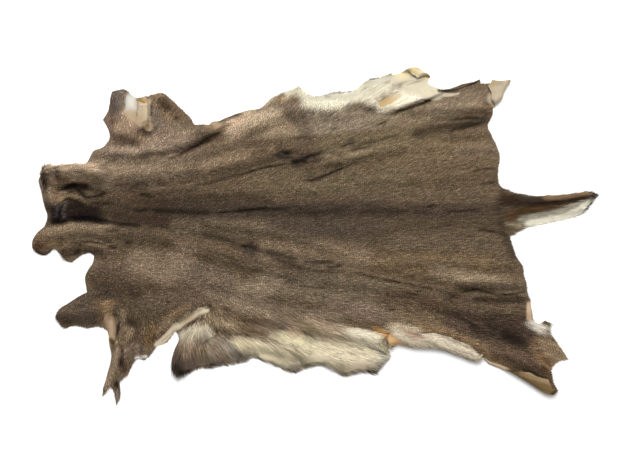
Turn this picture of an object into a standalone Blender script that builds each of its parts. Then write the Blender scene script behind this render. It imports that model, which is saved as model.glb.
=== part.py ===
"""A whole deer pelt with its hair on, lying hair side up.

One solid holds the hide and its coat. Its rim is the cut edge of the skin, with the neck towards
-X, the tail towards +X and the legs and belly on both sides. The rim's turned edges curl up and lie
back on the coat with their flesh side showing, long hair stands out at the belly and the tail as
locks, and the skin lies in lengthwise wrinkles. Metres, +Z up, standing on Z = 0.
"""

import math
from collections import namedtuple

import bpy
import numpy as np
from mathutils import Vector, noise
from mathutils.geometry import delaunay_2d_cdt

# Thickness of hide and coat together.
COAT = 0.009
RIM_THICKNESS = 0.003
RIM_FALL = 0.032
THINNEST = 0.0025

# Turned edges: the skin's bend, how long a flap turns all the way, and its gap to the coat below.
# An edge that turns less than LEAST_TURN stays flat, and one that changes by more than SLIT_TURN
# from one point of the rim to the next is slit there.
CURL_RADIUS = 0.0085
CURL_THICKNESS = 0.003
CURL_TURN = math.radians(178)
CURL_SETTLED = 0.016
CURL_GAP = 0.0012
LEAST_TURN = math.radians(14)
SLIT_TURN = math.radians(85)
STEADY_OVER = 2
ARC_PARTS = 4
FLAP_PARTS = 2

# Points of the mesh: along the rim, inside it and over the open coat.
RIM_STEP = 0.0145
INNER_RING = 0.010
GRID_STEP = 0.028
FOLD_STEP = 0.020
CLEAR_OF_RING = 0.007
CLEAR_OF_RIM = 0.011
CLEAR_OF_POINTS = 0.0125

# The underside stays on the floor until a fold lifts it by this much.
FLOOR_HOLD = 0.003

# An overlap begins to fade this share of its back before it ends.
STEP_FADE = 0.8

# Soft lumps of the coat, so many to the metre along the back and across it.
LUMP_HEIGHT = 0.0016
LUMPS_LENGTHWISE = 9.0
LUMPS_ACROSS = 24.0

# Locks at the rim: how far each point in turn stands out or in, as a share of the lock's length.
LOCK_REACH = (0.8, -0.5, 0.3, -0.3, 1.1, -0.6, 0.6, -0.2, 0.9, -0.4, 0.2, -0.5)
LOCK_LEAN = 0.6

COAT_BROWN = (0.135, 0.098, 0.066, 1.0)
COAT_ROUGHNESS = 0.85
SHARP_ANGLE = math.radians(50)

Rim = namedtuple("Rim", "x y sharp flap lock", defaults=(False, 0.0, 0.0))
Fold = namedtuple("Fold", "x0 y0 x1 y1 bow height width")
Step = namedtuple("Step", "x0 y0 x1 y1 bow rise width back")
Crease = namedtuple("Crease", "x0 y0 x1 y1 bow depth width")
Patch = namedtuple("Patch", "x0 y0 x1 y1 bow extra width")

# The rim, clockwise seen from above. sharp: a corner. flap: how far the turned edge lies back.
# lock: how far the hair's locks stand out.
UPPER_SHOULDER = (
    Rim(-0.652, 0.148, sharp=True),
    Rim(-0.634, 0.190),
    Rim(-0.606, 0.206),
    Rim(-0.594, 0.254),
)
UPPER_FORELEG = (
    Rim(-0.624, 0.308, sharp=True),
    Rim(-0.608, 0.342),
    Rim(-0.611, 0.404, sharp=True),
    Rim(-0.584, 0.415),
    Rim(-0.566, 0.410),
    Rim(-0.536, 0.384),
    Rim(-0.510, 0.377, sharp=True),
)
UPPER_BRISKET = (
    Rim(-0.496, 0.386, sharp=True),
    Rim(-0.470, 0.400),
    Rim(-0.454, 0.394),
    Rim(-0.410, 0.352),
    Rim(-0.366, 0.304),
    Rim(-0.346, 0.285),
    Rim(-0.316, 0.280),
    Rim(-0.300, 0.294),
    Rim(-0.284, 0.298),
    Rim(-0.268, 0.306, sharp=True),
)
UPPER_BELLY = (
    Rim(-0.248, 0.318),
    Rim(-0.204, 0.336),
    Rim(-0.165, 0.344),
    Rim(-0.134, 0.378, lock=0.006),
    Rim(-0.090, 0.402, lock=0.010),
    Rim(-0.058, 0.420, lock=0.010),
    Rim(-0.034, 0.404, lock=0.010),
    Rim(0.000, 0.386, lock=0.010),
    Rim(0.050, 0.392, lock=0.010),
    Rim(0.104, 0.400, lock=0.012),
    Rim(0.124, 0.416, lock=0.012),
    Rim(0.154, 0.444, lock=0.012),
    Rim(0.184, 0.454, lock=0.012),
    Rim(0.214, 0.466, lock=0.010),
    Rim(0.255, 0.468, lock=0.004),
)
UPPER_HIND = (
    Rim(0.266, 0.476),
    Rim(0.303, 0.492, flap=0.018),
    Rim(0.328, 0.486, flap=0.020),
    Rim(0.350, 0.466, sharp=True),
    Rim(0.341, 0.452, sharp=True),
    Rim(0.349, 0.436),
    Rim(0.380, 0.412, sharp=True),
    Rim(0.396, 0.414, flap=0.014),
    Rim(0.430, 0.418, flap=0.016),
    Rim(0.450, 0.427, flap=0.014),
    Rim(0.488, 0.441, flap=0.010),
    Rim(0.502, 0.450, sharp=True),
    Rim(0.502, 0.438, sharp=True),
    Rim(0.530, 0.438),
    Rim(0.560, 0.449),
    Rim(0.598, 0.449, sharp=True),
)
UPPER_RUMP = (
    Rim(0.585, 0.428, flap=0.026),
    Rim(0.574, 0.402, flap=0.028),
    Rim(0.561, 0.376, flap=0.012),
    Rim(0.534, 0.352, sharp=True),
    Rim(0.524, 0.334),
    Rim(0.519, 0.312),
    Rim(0.505, 0.296, sharp=True),
    Rim(0.506, 0.276),
    Rim(0.516, 0.258),
    Rim(0.526, 0.212),
    Rim(0.530, 0.176),
    Rim(0.519, 0.136),
    Rim(0.513, 0.094),
    Rim(0.520, 0.074, sharp=True),
)
TAIL = (
    Rim(0.545, 0.064, lock=0.006),
    Rim(0.595, 0.053, lock=0.008),
    Rim(0.645, 0.053, lock=0.010),
    Rim(0.705, 0.057, lock=0.010),
    Rim(0.745, 0.062, lock=0.008),
    Rim(0.787, 0.057, sharp=True),
    Rim(0.756, 0.024, lock=0.008),
    Rim(0.704, -0.009, lock=0.010),
    Rim(0.630, -0.031, lock=0.010),
    Rim(0.565, -0.046, lock=0.010),
    Rim(0.533, -0.060, lock=0.006),
    Rim(0.518, -0.066, sharp=True),
)
LOWER_RUMP = (
    Rim(0.524, -0.112),
    Rim(0.530, -0.130),
    Rim(0.545, -0.158),
    Rim(0.544, -0.200),
    Rim(0.546, -0.262),
    Rim(0.546, -0.294),
)
LOWER_HIND = (
    Rim(0.556, -0.310, lock=0.006),
    Rim(0.576, -0.301, lock=0.008),
    Rim(0.586, -0.305, lock=0.008),
    Rim(0.587, -0.326, lock=0.006),
    Rim(0.597, -0.356),
    Rim(0.612, -0.381),
    Rim(0.618, -0.397, sharp=True),
    Rim(0.594, -0.401),
    Rim(0.576, -0.413),
    Rim(0.571, -0.430),
    Rim(0.572, -0.456),
    Rim(0.581, -0.468, sharp=True),
    Rim(0.562, -0.486, sharp=True),
    Rim(0.546, -0.480, flap=0.028),
    Rim(0.505, -0.451, flap=0.024),
    Rim(0.455, -0.421, flap=0.016),
    Rim(0.424, -0.402, flap=0.010),
)
LOWER_FLANK = (
    Rim(0.409, -0.392, sharp=True),
    Rim(0.394, -0.403, flap=0.022),
    Rim(0.378, -0.400, flap=0.032),
    Rim(0.310, -0.376, flap=0.034),
    Rim(0.245, -0.370, flap=0.036),
    Rim(0.206, -0.367, flap=0.030),
    Rim(0.181, -0.371, sharp=True),
)
LOWER_BELLY = (
    Rim(0.184, -0.392),
    Rim(0.165, -0.411),
    Rim(0.134, -0.434, lock=0.008),
    Rim(0.109, -0.430, lock=0.008),
    Rim(0.080, -0.437, lock=0.008),
    Rim(0.054, -0.434, lock=0.008),
    Rim(0.022, -0.414, lock=0.006),
    Rim(-0.005, -0.415, lock=0.008),
    Rim(-0.060, -0.425, lock=0.008),
    Rim(-0.092, -0.415, lock=0.008),
    Rim(-0.152, -0.394, lock=0.008),
    Rim(-0.176, -0.404, lock=0.008),
    Rim(-0.255, -0.418, lock=0.008),
    Rim(-0.282, -0.416, lock=0.006),
    Rim(-0.308, -0.431, lock=0.006),
    Rim(-0.326, -0.445, lock=0.004),
    Rim(-0.343, -0.436),
    Rim(-0.350, -0.405),
    Rim(-0.345, -0.375),
    Rim(-0.337, -0.345),
    Rim(-0.348, -0.324, sharp=True),
)
LOWER_BRISKET = (
    Rim(-0.372, -0.350),
    Rim(-0.392, -0.361),
    Rim(-0.406, -0.377),
    Rim(-0.417, -0.395),
    Rim(-0.435, -0.391),
    Rim(-0.447, -0.407),
    Rim(-0.452, -0.435),
    Rim(-0.468, -0.450, sharp=True),
    Rim(-0.465, -0.480),
    Rim(-0.470, -0.504, sharp=True),
    Rim(-0.480, -0.476),
    Rim(-0.489, -0.464, sharp=True),
    Rim(-0.506, -0.484, sharp=True),
    Rim(-0.500, -0.425),
    Rim(-0.497, -0.390),
    Rim(-0.508, -0.357),
    Rim(-0.520, -0.328),
)
LOWER_FORELEG = (
    Rim(-0.542, -0.316),
    Rim(-0.566, -0.322),
    Rim(-0.602, -0.314),
    Rim(-0.626, -0.319),
    Rim(-0.648, -0.304),
    Rim(-0.656, -0.288),
    Rim(-0.640, -0.266),
    Rim(-0.608, -0.245),
    Rim(-0.584, -0.228, sharp=True),
)
LOWER_NECK = (
    Rim(-0.590, -0.212),
    Rim(-0.597, -0.190),
    Rim(-0.594, -0.172),
    Rim(-0.582, -0.150),
    Rim(-0.582, -0.124, sharp=True),
    Rim(-0.600, -0.117),
    Rim(-0.618, -0.122),
    Rim(-0.641, -0.143, sharp=True),
    Rim(-0.658, -0.139),
    Rim(-0.676, -0.123),
    Rim(-0.694, -0.108, sharp=True),
)
NAPE = (
    Rim(-0.710, -0.117),
    Rim(-0.726, -0.118),
    Rim(-0.745, -0.108),
    Rim(-0.756, -0.088),
    Rim(-0.748, -0.056),
    Rim(-0.732, -0.038),
    Rim(-0.728, -0.008),
    Rim(-0.740, 0.020),
    Rim(-0.760, 0.062),
    Rim(-0.768, 0.098),
    Rim(-0.764, 0.126),
    Rim(-0.750, 0.138),
    Rim(-0.724, 0.146),
    Rim(-0.690, 0.148),
    Rim(-0.668, 0.147),
)
OUTLINE = (
    UPPER_SHOULDER + UPPER_FORELEG + UPPER_BRISKET + UPPER_BELLY + UPPER_HIND + UPPER_RUMP
    + TAIL + LOWER_RUMP + LOWER_HIND + LOWER_FLANK + LOWER_BELLY + LOWER_BRISKET
    + LOWER_FORELEG + LOWER_NECK + NAPE
)

# Each row below follows a line from its first place to its second, bowed to its left by bow.

# Folds that lift the skin off the floor, each a soft ridge.
NECK_FOLDS = (
    Fold(-0.740, 0.116, -0.622, 0.118, bow=0.008, height=0.034, width=0.028),
    Fold(-0.744, 0.112, -0.728, 0.030, bow=-0.006, height=0.016, width=0.018),
    Fold(-0.728, -0.084, -0.600, -0.056, bow=0.006, height=0.021, width=0.030),
    Fold(-0.600, 0.102, -0.440, 0.116, bow=0.010, height=0.012, width=0.026),
    Fold(-0.612, -0.104, -0.560, -0.112, bow=0.004, height=0.009, width=0.013),
    Fold(-0.666, -0.130, -0.662, -0.108, bow=0.0, height=0.011, width=0.014),
    Fold(-0.560, -0.060, -0.400, -0.075, bow=0.006, height=0.007, width=0.024),
    Fold(-0.585, -0.170, -0.480, -0.190, bow=0.012, height=0.006, width=0.030),
)
SHOULDER_FOLDS = (
    Fold(-0.598, 0.388, -0.580, 0.262, bow=0.006, height=0.013, width=0.026),
    Fold(-0.505, 0.268, -0.488, 0.264, bow=0.006, height=0.011, width=0.012),
    Fold(-0.446, 0.378, -0.330, 0.272, bow=0.006, height=0.022, width=0.028),
    Fold(-0.600, 0.190, -0.470, 0.176, bow=0.010, height=0.008, width=0.024),
    Fold(-0.640, -0.284, -0.530, -0.272, bow=-0.006, height=0.012, width=0.026),
    Fold(-0.488, -0.312, -0.502, -0.466, bow=0.006, height=0.011, width=0.012),
    Fold(-0.462, -0.440, -0.468, -0.486, bow=0.0, height=0.006, width=0.010),
    Fold(-0.452, -0.400, -0.440, -0.345, bow=-0.006, height=0.008, width=0.020),
    Fold(-0.300, -0.268, -0.398, -0.334, bow=-0.008, height=0.010, width=0.014),
)
BACK_FOLDS = (
    Fold(-0.400, 0.126, -0.130, 0.184, bow=-0.006, height=0.008, width=0.024),
    Fold(-0.340, 0.186, -0.140, 0.236, bow=0.010, height=0.007, width=0.024),
    Fold(-0.420, 0.040, 0.060, 0.078, bow=0.006, height=0.005, width=0.022),
    Fold(-0.300, -0.028, 0.060, -0.112, bow=0.010, height=0.007, width=0.022),
    Fold(-0.380, -0.086, -0.060, -0.172, bow=-0.010, height=0.008, width=0.024),
    Fold(0.020, -0.192, 0.330, -0.246, bow=0.006, height=0.007, width=0.022),
    Fold(-0.280, -0.195, 0.060, -0.255, bow=-0.010, height=0.006, width=0.028),
    Fold(0.040, 0.168, 0.240, 0.214, bow=-0.010, height=0.008, width=0.020),
    Fold(-0.040, 0.130, 0.060, 0.158, bow=0.006, height=0.006, width=0.013),
    Fold(0.120, 0.100, 0.500, 0.128, bow=-0.008, height=0.005, width=0.026),
    Fold(0.140, -0.048, 0.500, -0.066, bow=0.006, height=0.005, width=0.026),
    Fold(0.160, -0.150, 0.500, -0.158, bow=0.008, height=0.006, width=0.020),
    Fold(0.370, -0.204, 0.536, -0.204, bow=0.006, height=0.013, width=0.016),
    Fold(0.300, -0.262, 0.530, -0.280, bow=-0.006, height=0.008, width=0.020),
    Fold(0.290, 0.334, 0.510, 0.342, bow=0.008, height=0.010, width=0.020),
    Fold(0.290, 0.262, 0.500, 0.260, bow=-0.008, height=0.007, width=0.022),
    Fold(0.230, 0.196, 0.510, 0.200, bow=0.006, height=0.005, width=0.022),
    Fold(0.330, -0.338, 0.540, -0.412, bow=-0.010, height=0.009, width=0.022),
    Fold(0.592, -0.372, 0.566, -0.318, bow=0.006, height=0.009, width=0.018),
)
BELLY_FOLDS = (
    Fold(-0.170, 0.284, 0.010, 0.334, bow=0.010, height=0.009, width=0.034),
    Fold(-0.110, 0.352, -0.040, 0.392, bow=0.006, height=0.008, width=0.022),
    Fold(0.050, 0.330, 0.220, 0.396, bow=-0.012, height=0.008, width=0.032),
    Fold(-0.328, -0.420, -0.296, -0.330, bow=0.008, height=0.018, width=0.026),
    Fold(-0.250, -0.384, -0.120, -0.356, bow=0.010, height=0.013, width=0.024),
    Fold(-0.236, -0.316, -0.180, -0.330, bow=0.0, height=0.006, width=0.016),
    Fold(-0.090, -0.366, -0.010, -0.394, bow=0.006, height=0.010, width=0.020),
    Fold(0.030, -0.404, 0.150, -0.404, bow=-0.010, height=0.012, width=0.024),
    Fold(-0.020, -0.330, 0.170, -0.352, bow=0.010, height=0.008, width=0.020),
)
FOLDS = NECK_FOLDS + SHOULDER_FOLDS + BACK_FOLDS + BELLY_FOLDS

# Where one part of the skin overlaps the next: the left side of the line is raised.
STEPS = (
    Step(-0.478, 0.186, -0.262, 0.284, bow=-0.022, rise=0.016, width=0.012, back=0.046),
    Step(-0.492, 0.272, -0.508, 0.392, bow=-0.004, rise=0.017, width=0.008, back=0.036),
    Step(0.226, 0.330, 0.374, 0.396, bow=-0.004, rise=0.013, width=0.009, back=0.044),
    Step(-0.700, 0.078, -0.610, 0.070, bow=0.004, rise=0.008, width=0.012, back=0.030),
    Step(-0.180, -0.336, -0.276, -0.360, bow=-0.012, rise=0.007, width=0.010, back=0.030),
)

# Creases in the coat alone.
CREASES = (
    Crease(-0.705, 0.070, -0.612, 0.072, bow=0.006, depth=0.006, width=0.012),
    Crease(-0.620, 0.050, -0.580, 0.066, bow=0.0, depth=0.004, width=0.007),
    Crease(-0.700, -0.030, -0.455, -0.034, bow=0.006, depth=0.003, width=0.016),
    Crease(-0.620, -0.082, -0.560, -0.096, bow=0.006, depth=0.005, width=0.006),
    Crease(-0.575, 0.226, -0.510, 0.236, bow=0.010, depth=0.004, width=0.015),
    Crease(-0.530, 0.064, -0.435, 0.078, bow=-0.004, depth=0.004, width=0.010),
    Crease(-0.435, 0.078, -0.140, 0.150, bow=-0.008, depth=0.004, width=0.010),
    Crease(-0.100, 0.186, -0.010, 0.170, bow=0.006, depth=0.006, width=0.010),
    Crease(0.045, 0.212, 0.095, 0.224, bow=0.0, depth=0.004, width=0.007),
    Crease(-0.025, 0.104, 0.065, 0.134, bow=-0.006, depth=0.005, width=0.007),
    Crease(0.090, 0.222, 0.225, 0.268, bow=0.004, depth=0.004, width=0.008),
    Crease(0.350, 0.302, 0.505, 0.300, bow=0.004, depth=0.006, width=0.009),
    Crease(-0.400, -0.048, -0.175, -0.106, bow=0.006, depth=0.004, width=0.010),
    Crease(-0.175, -0.106, 0.050, -0.158, bow=-0.004, depth=0.005, width=0.010),
    Crease(0.050, -0.158, 0.320, -0.212, bow=0.004, depth=0.004, width=0.009),
    Crease(0.400, -0.228, 0.538, -0.232, bow=0.004, depth=0.005, width=0.007),
    Crease(0.350, -0.298, 0.530, -0.350, bow=0.006, depth=0.003, width=0.016),
    Crease(-0.478, -0.308, -0.445, -0.316, bow=0.0, depth=0.005, width=0.018),
    Crease(-0.499, -0.312, -0.512, -0.372, bow=0.002, depth=0.003, width=0.006),
    Crease(-0.210, -0.290, -0.080, -0.318, bow=-0.012, depth=0.004, width=0.010),
    Crease(-0.280, -0.282, -0.342, -0.322, bow=-0.004, depth=0.003, width=0.007),
    Crease(0.236, 0.438, 0.310, 0.452, bow=0.004, depth=0.004, width=0.006),
    Crease(0.110, -0.366, 0.172, -0.388, bow=0.002, depth=0.003, width=0.006),
)

# Where the coat is longer than on the back, or shorter.
PATCHES = (
    Patch(0.560, 0.002, 0.745, 0.046, bow=-0.006, extra=0.013, width=0.028),
    Patch(-0.100, 0.395, 0.230, 0.445, bow=0.0, extra=0.004, width=0.040),
    Patch(-0.320, -0.400, 0.160, -0.405, bow=0.0, extra=0.005, width=0.045),
    Patch(-0.600, 0.400, -0.590, 0.290, bow=0.0, extra=-0.004, width=0.050),
    Patch(-0.520, 0.370, -0.500, 0.300, bow=0.0, extra=-0.003, width=0.030),
    Patch(-0.640, -0.284, -0.560, -0.280, bow=0.0, extra=-0.003, width=0.040),
    Patch(-0.490, -0.480, -0.475, -0.380, bow=0.0, extra=-0.004, width=0.035),
    Patch(0.600, -0.390, 0.530, -0.440, bow=0.0, extra=-0.004, width=0.045),
    Patch(0.580, 0.430, 0.540, 0.400, bow=0.0, extra=-0.004, width=0.040),
    Patch(0.320, 0.470, 0.400, 0.420, bow=0.0, extra=-0.003, width=0.040),
)

Edge = namedtuple("Edge", "place out flap lock")


def smooth(share):
    """The soft rise from 0 to 1 as share does."""
    share = np.clip(share, 0.0, 1.0)
    return share * share * (3.0 - 2.0 * share)


def on_line(places, row):
    """How far along the row's line each place lies, from 0 to 1, and how far to its left."""
    start = np.array((row.x0, row.y0))
    run = np.array((row.x1, row.y1)) - start
    length = math.hypot(*run)
    share = (places - start) @ run / length**2
    within = np.clip(share, 0.0, 1.0)
    left = (places - start) @ np.array((-run[1], run[0])) / length
    return share, left - row.bow * 4.0 * within * (1.0 - within), length


def soft_line(places, row):
    """A soft band round the row's line, 1 on it and fading over its width."""
    share, left, length = on_line(places, row)
    past = (share - np.clip(share, 0.0, 1.0)) * length
    return np.exp(-(left**2 + past**2) / row.width**2)


def overlap(places, row):
    """A step along the row's line: raised on its left, sharply down to its right."""
    share, left, length = on_line(places, row)
    ends = smooth(np.minimum(share, 1.0 - share) * length / row.back + STEP_FADE)
    return row.rise * ends * smooth(left / row.width + 0.5) * np.exp(-((left / row.back) ** 2) * (left > 0))


def underside(places):
    """Height of the hide's flesh side over the floor."""
    lift = sum(row.height * soft_line(places, row) for row in FOLDS)
    lift = lift + sum(overlap(places, row) for row in STEPS)
    return np.maximum(lift - FLOOR_HOLD, 0.0)


def coat(places, from_rim):
    """Thickness of hide and coat, thin at the rim."""
    deep = COAT + sum(row.extra * soft_line(places, row) for row in PATCHES)
    lumps = [
        noise.noise(Vector((x * LUMPS_LENGTHWISE, y * LUMPS_ACROSS, 0.0))) for x, y in places
    ]
    deep = deep + LUMP_HEIGHT * np.array(lumps)
    deep = deep - sum(row.depth * soft_line(places, row) for row in CREASES)
    thick = RIM_THICKNESS + (deep - RIM_THICKNESS) * smooth(from_rim / RIM_FALL)
    return np.maximum(thick, THINNEST)


def bend(before, start, end, after, share):
    """A point on the smooth curve from start to end, with the numbers of both rows mixed."""
    lead = 0.5 * (end - before) * (not start[2])
    trail = 0.5 * (after - start) * (not end[2])
    one, two = share * share, share * share * share
    mixed = (
        (2 * two - 3 * one + 1) * start + (two - 2 * one + share) * lead
        + (3 * one - 2 * two) * end + (two - one) * trail
    )
    mixed[3:] = start[3:] + (end[3:] - start[3:]) * share
    return mixed


def rim_rows(step):
    """The outline's rows at an even step, corners kept."""
    rows = np.array(OUTLINE, float)
    count = len(rows)
    made = []
    for i in range(count):
        before, start, end, after = (rows[(i + k) % count] for k in (-1, 0, 1, 2))
        parts = max(1, round(math.dist(start[:2], end[:2]) / step))
        made += [bend(before, start, end, after, k / parts) for k in range(parts)]
    return made


def rim_edges(step):
    """Places on the rim with their outward direction, turned edges drawn in and locks drawn out."""
    rows = rim_rows(step)
    places = np.array([row[:2] for row in rows])
    ahead, behind = np.roll(places, -1, axis=0), np.roll(places, 1, axis=0)
    along = ahead - behind
    along /= np.linalg.norm(along, axis=1)[:, None]
    out = np.stack([-along[:, 1], along[:, 0]], axis=1)
    steady = sum(np.roll(out, k, axis=0) for k in range(-STEADY_OVER, STEADY_OVER + 1))
    steady /= np.linalg.norm(steady, axis=1)[:, None]
    edges = []
    for i, row in enumerate(rows):
        flap, lock = max(row[3], 0.0), max(row[4], 0.0)
        place = places[i] - out[i] * CURL_RADIUS * math.sin(min(turn_of(flap), math.pi / 2))
        if lock:
            reach = lock * LOCK_REACH[i % len(LOCK_REACH)]
            lean = along[i] if out[i][1] > 0 else -along[i]
            place = place + (out[i] + LOCK_LEAN * lean * (reach > 0)) * reach
        edges.append(Edge(place, steady[i] if flap else out[i], flap, lock))
    return edges


def turn_of(flap):
    """How far an edge turns: all the way once its flap is long enough to lie down."""
    return CURL_TURN * min(1.0, flap / CURL_SETTLED)


def distance_to(places, line):
    """Each place's distance to a closed line of points."""
    start, end = line, np.roll(line, -1, axis=0)
    run = end - start
    length = (run**2).sum(axis=1)
    nearest = np.full(len(places), np.inf)
    for a, d, n in zip(start, run, length):
        share = np.clip((places - a) @ d / n, 0.0, 1.0)
        nearest = np.minimum(nearest, np.hypot(*(places - a - share[:, None] * d).T))
    return nearest


def inside(places, line):
    """Whether each place lies within a closed line of points."""
    found = np.zeros(len(places), bool)
    for (x0, y0), (x1, y1) in zip(line, np.roll(line, -1, axis=0)):
        if y0 == y1:
            continue
        spans = (places[:, 1] < y0) != (places[:, 1] < y1)
        found ^= spans & (places[:, 0] < x0 + (x1 - x0) * (places[:, 1] - y0) / (y1 - y0))
    return found


def along_line(row, sides):
    """Places at an even step along the row's line, and at its width to each side asked for."""
    run = np.array((row.x1 - row.x0, row.y1 - row.y0))
    length = math.hypot(*run)
    across = np.array((-run[1], run[0])) / length
    parts = max(1, round(length / FOLD_STEP))
    made = []
    for k in range(parts + 1):
        share = k / parts
        bow = row.bow * 4.0 * share * (1.0 - share)
        middle = np.array((row.x0, row.y0)) + run * share
        made += [middle + across * (bow + row.width * side) for side in sides]
    return made


def wanted_places(edges, line):
    """Places inside the rim: a ring just within it, rows along each fold, then an even grid."""
    ring = np.array([edge.place - edge.out * INNER_RING for edge in edges[::2]])
    sharp_rows = [along_line(row, (0, -1, 1)) for row in STEPS + CREASES]
    soft_rows = [along_line(row, (0,)) for row in FOLDS]
    beside = sum(sharp_rows + soft_rows, [])
    low, high = line.min(axis=0), line.max(axis=0)
    pitch = GRID_STEP * math.sqrt(3) / 2
    grid = [
        (low[0] + GRID_STEP * (i + 0.5 * (j % 2)), low[1] + pitch * j)
        for j in range(int((high[1] - low[1]) / pitch) + 1)
        for i in range(int((high[0] - low[0]) / GRID_STEP) + 1)
    ]
    kept = np.empty((0, 2))
    for group, clear in ((ring, CLEAR_OF_RING), (beside, CLEAR_OF_RIM), (grid, CLEAR_OF_RIM)):
        group = np.array(group)
        group = group[inside(group, line)]
        group = group[distance_to(group, line) > clear]
        for place in group:
            if not len(kept) or np.hypot(*(kept - place).T).min() > CLEAR_OF_POINTS:
                kept = np.vstack([kept, place])
    return kept


def sheet(edges):
    """The flat plan as triangles: its places, and its faces as rows of three."""
    line = np.array([edge.place for edge in edges])
    inner = wanted_places(edges, line)
    places = np.vstack([line, inner])
    count = len(line)
    ring = [(i, (i + 1) % count) for i in range(count)]
    out = delaunay_2d_cdt([Vector(p) for p in places], ring, [], 1, 1e-7)
    if len(out[0]) != len(places):
        raise ValueError("the rim crosses itself")
    order = [source[0] for source in out[3]]
    faces = [[order[i] for i in face] for face in out[2]]
    return places, faces


def curl_column(edge, under):
    """The turned edge at one place: points of its flesh side and of its hair side."""
    turn = turn_of(edge.flap)
    profile = []
    for k in range(1, ARC_PARTS + 1):
        angle = turn * k / ARC_PARTS
        profile.append((math.sin(angle), 1.0 - math.cos(angle), 0.0, angle))
    for k in range(1, FLAP_PARTS + 1):
        profile.append((math.sin(turn), 1.0 - math.cos(turn), edge.flap * k / FLAP_PARTS, turn))
    flesh, hair = [], []
    for along, up, run, angle in profile:
        reach = CURL_RADIUS * along + run * math.cos(angle)
        height = under + CURL_RADIUS * up + run * math.sin(angle)
        place = edge.place + edge.out * reach
        if reach < 0.0:
            below = float(underside(place[None])[0] + coat(place[None], -reach)[0])
            height = max(height, below + CURL_GAP + CURL_THICKNESS)
        flesh.append((*place, height))
        back = place - edge.out * CURL_THICKNESS * math.sin(angle)
        hair.append((*back, height + CURL_THICKNESS * math.cos(angle)))
    return flesh, hair


def pelt_mesh():
    """Points and faces of the whole closed solid."""
    edges = rim_edges(RIM_STEP)
    plan, faces = sheet(edges)
    count = len(edges)
    line = plan[:count]
    low = underside(plan)
    thick = coat(plan, distance_to(plan, line))
    flesh = [(x, y, z) for (x, y), z in zip(plan, low)]
    hair = [(x, y, z + t) for (x, y), z, t in zip(plan, low, thick)]

    columns = [[i] for i in range(count)]
    for i, edge in enumerate(edges):
        if turn_of(edge.flap) > LEAST_TURN:
            added_flesh, added_hair = curl_column(edge, low[i])
            columns[i] += range(len(flesh), len(flesh) + len(added_flesh))
            flesh += added_flesh
            hair += added_hair

    # Between neighbouring columns the turned edge is a strip, or a fan where it runs out. Where
    # the turn changes at once, the edge is slit.
    turns = [turn_of(edge.flap) for edge in edges]
    for i in range(count):
        here, there = columns[i], columns[(i + 1) % count]
        if abs(turns[i] - turns[(i + 1) % count]) > SLIT_TURN:
            continue
        for k in range(max(len(here), len(there)) - 1):
            a, b = here[min(k, len(here) - 1)], here[min(k + 1, len(here) - 1)]
            c, d = there[min(k, len(there) - 1)], there[min(k + 1, len(there) - 1)]
            if a != b:
                faces.append([a, c, b])
            if c != d:
                faces.append([b, c, d])

    total = len(flesh)
    below = [face[::-1] for face in faces]
    above = [[i + total for i in face] for face in faces]
    walls = []
    used = {(face[k], face[(k + 1) % 3]) for face in faces for k in range(3)}
    for a, b in used:
        if (b, a) not in used:
            walls.append([a, b, b + total])
            walls.append([a, b + total, a + total])
    return flesh + hair, below + above + walls


def coat_material():
    """Dull grey-brown hair."""
    material = bpy.data.materials.new("coat")
    material.use_nodes = True
    shader = material.node_tree.nodes["Principled BSDF"]
    shader.inputs["Base Color"].default_value = COAT_BROWN
    shader.inputs["Roughness"].default_value = COAT_ROUGHNESS
    shader.inputs["Metallic"].default_value = 0.0
    return material


def build():
    """The pelt, standing on the floor with its origin under the middle of its outline."""
    for old in list(bpy.data.objects):
        bpy.data.objects.remove(old, do_unlink=True)
    points, faces = pelt_mesh()
    points = np.array(points)
    low, high = points.min(axis=0), points.max(axis=0)
    middle = (low + high) / 2
    points -= (middle[0], middle[1], low[2])
    mesh = bpy.data.meshes.new("pelt")
    mesh.from_pydata(points.tolist(), [], faces)
    mesh.validate()
    mesh.shade_smooth()
    mesh.set_sharp_from_angle(angle=SHARP_ANGLE)
    mesh.materials.append(coat_material())
    pelt = bpy.data.objects.new("pelt", mesh)
    bpy.context.scene.collection.objects.link(pelt)


build()
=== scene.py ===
"""Dresses the deer pelt: its skin with the turned edges, and the hair that grows on it.

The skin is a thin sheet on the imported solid's own folds, drawn finer. The hair grows from it by
Geometry Nodes: short blades that lie along the back, and longer bent ones at the belly, the legs and
the tail. Metres, +Z up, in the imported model's frame. The tables are in the frame that the outline
was laid out in, whose middle is at OUTLINE_MIDDLE.
"""

import logging
import math
from collections.abc import Sequence
from dataclasses import dataclass, field
from enum import Enum
from typing import Any, NamedTuple

import bpy
import numpy as np
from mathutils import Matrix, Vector, noise
from mathutils.geometry import delaunay_2d_cdt


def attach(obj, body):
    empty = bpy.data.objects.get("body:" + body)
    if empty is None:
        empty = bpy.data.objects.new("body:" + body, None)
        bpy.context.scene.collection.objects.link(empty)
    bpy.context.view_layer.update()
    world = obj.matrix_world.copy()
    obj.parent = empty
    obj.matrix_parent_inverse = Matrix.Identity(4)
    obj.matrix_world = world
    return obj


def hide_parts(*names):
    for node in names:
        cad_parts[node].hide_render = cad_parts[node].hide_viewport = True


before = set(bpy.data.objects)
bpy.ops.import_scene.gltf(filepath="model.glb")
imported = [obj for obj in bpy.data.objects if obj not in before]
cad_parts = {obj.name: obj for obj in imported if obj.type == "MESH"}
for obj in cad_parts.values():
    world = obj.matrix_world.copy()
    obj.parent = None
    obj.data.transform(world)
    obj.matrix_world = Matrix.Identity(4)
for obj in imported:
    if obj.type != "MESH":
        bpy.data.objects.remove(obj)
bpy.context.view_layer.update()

log = logging.getLogger("pelt")

OUTLINE_MIDDLE = np.array((0.0095, -0.00597))
SEED = 7
SHUFFLED = np.random.default_rng(SEED).permutation(256)


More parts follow.
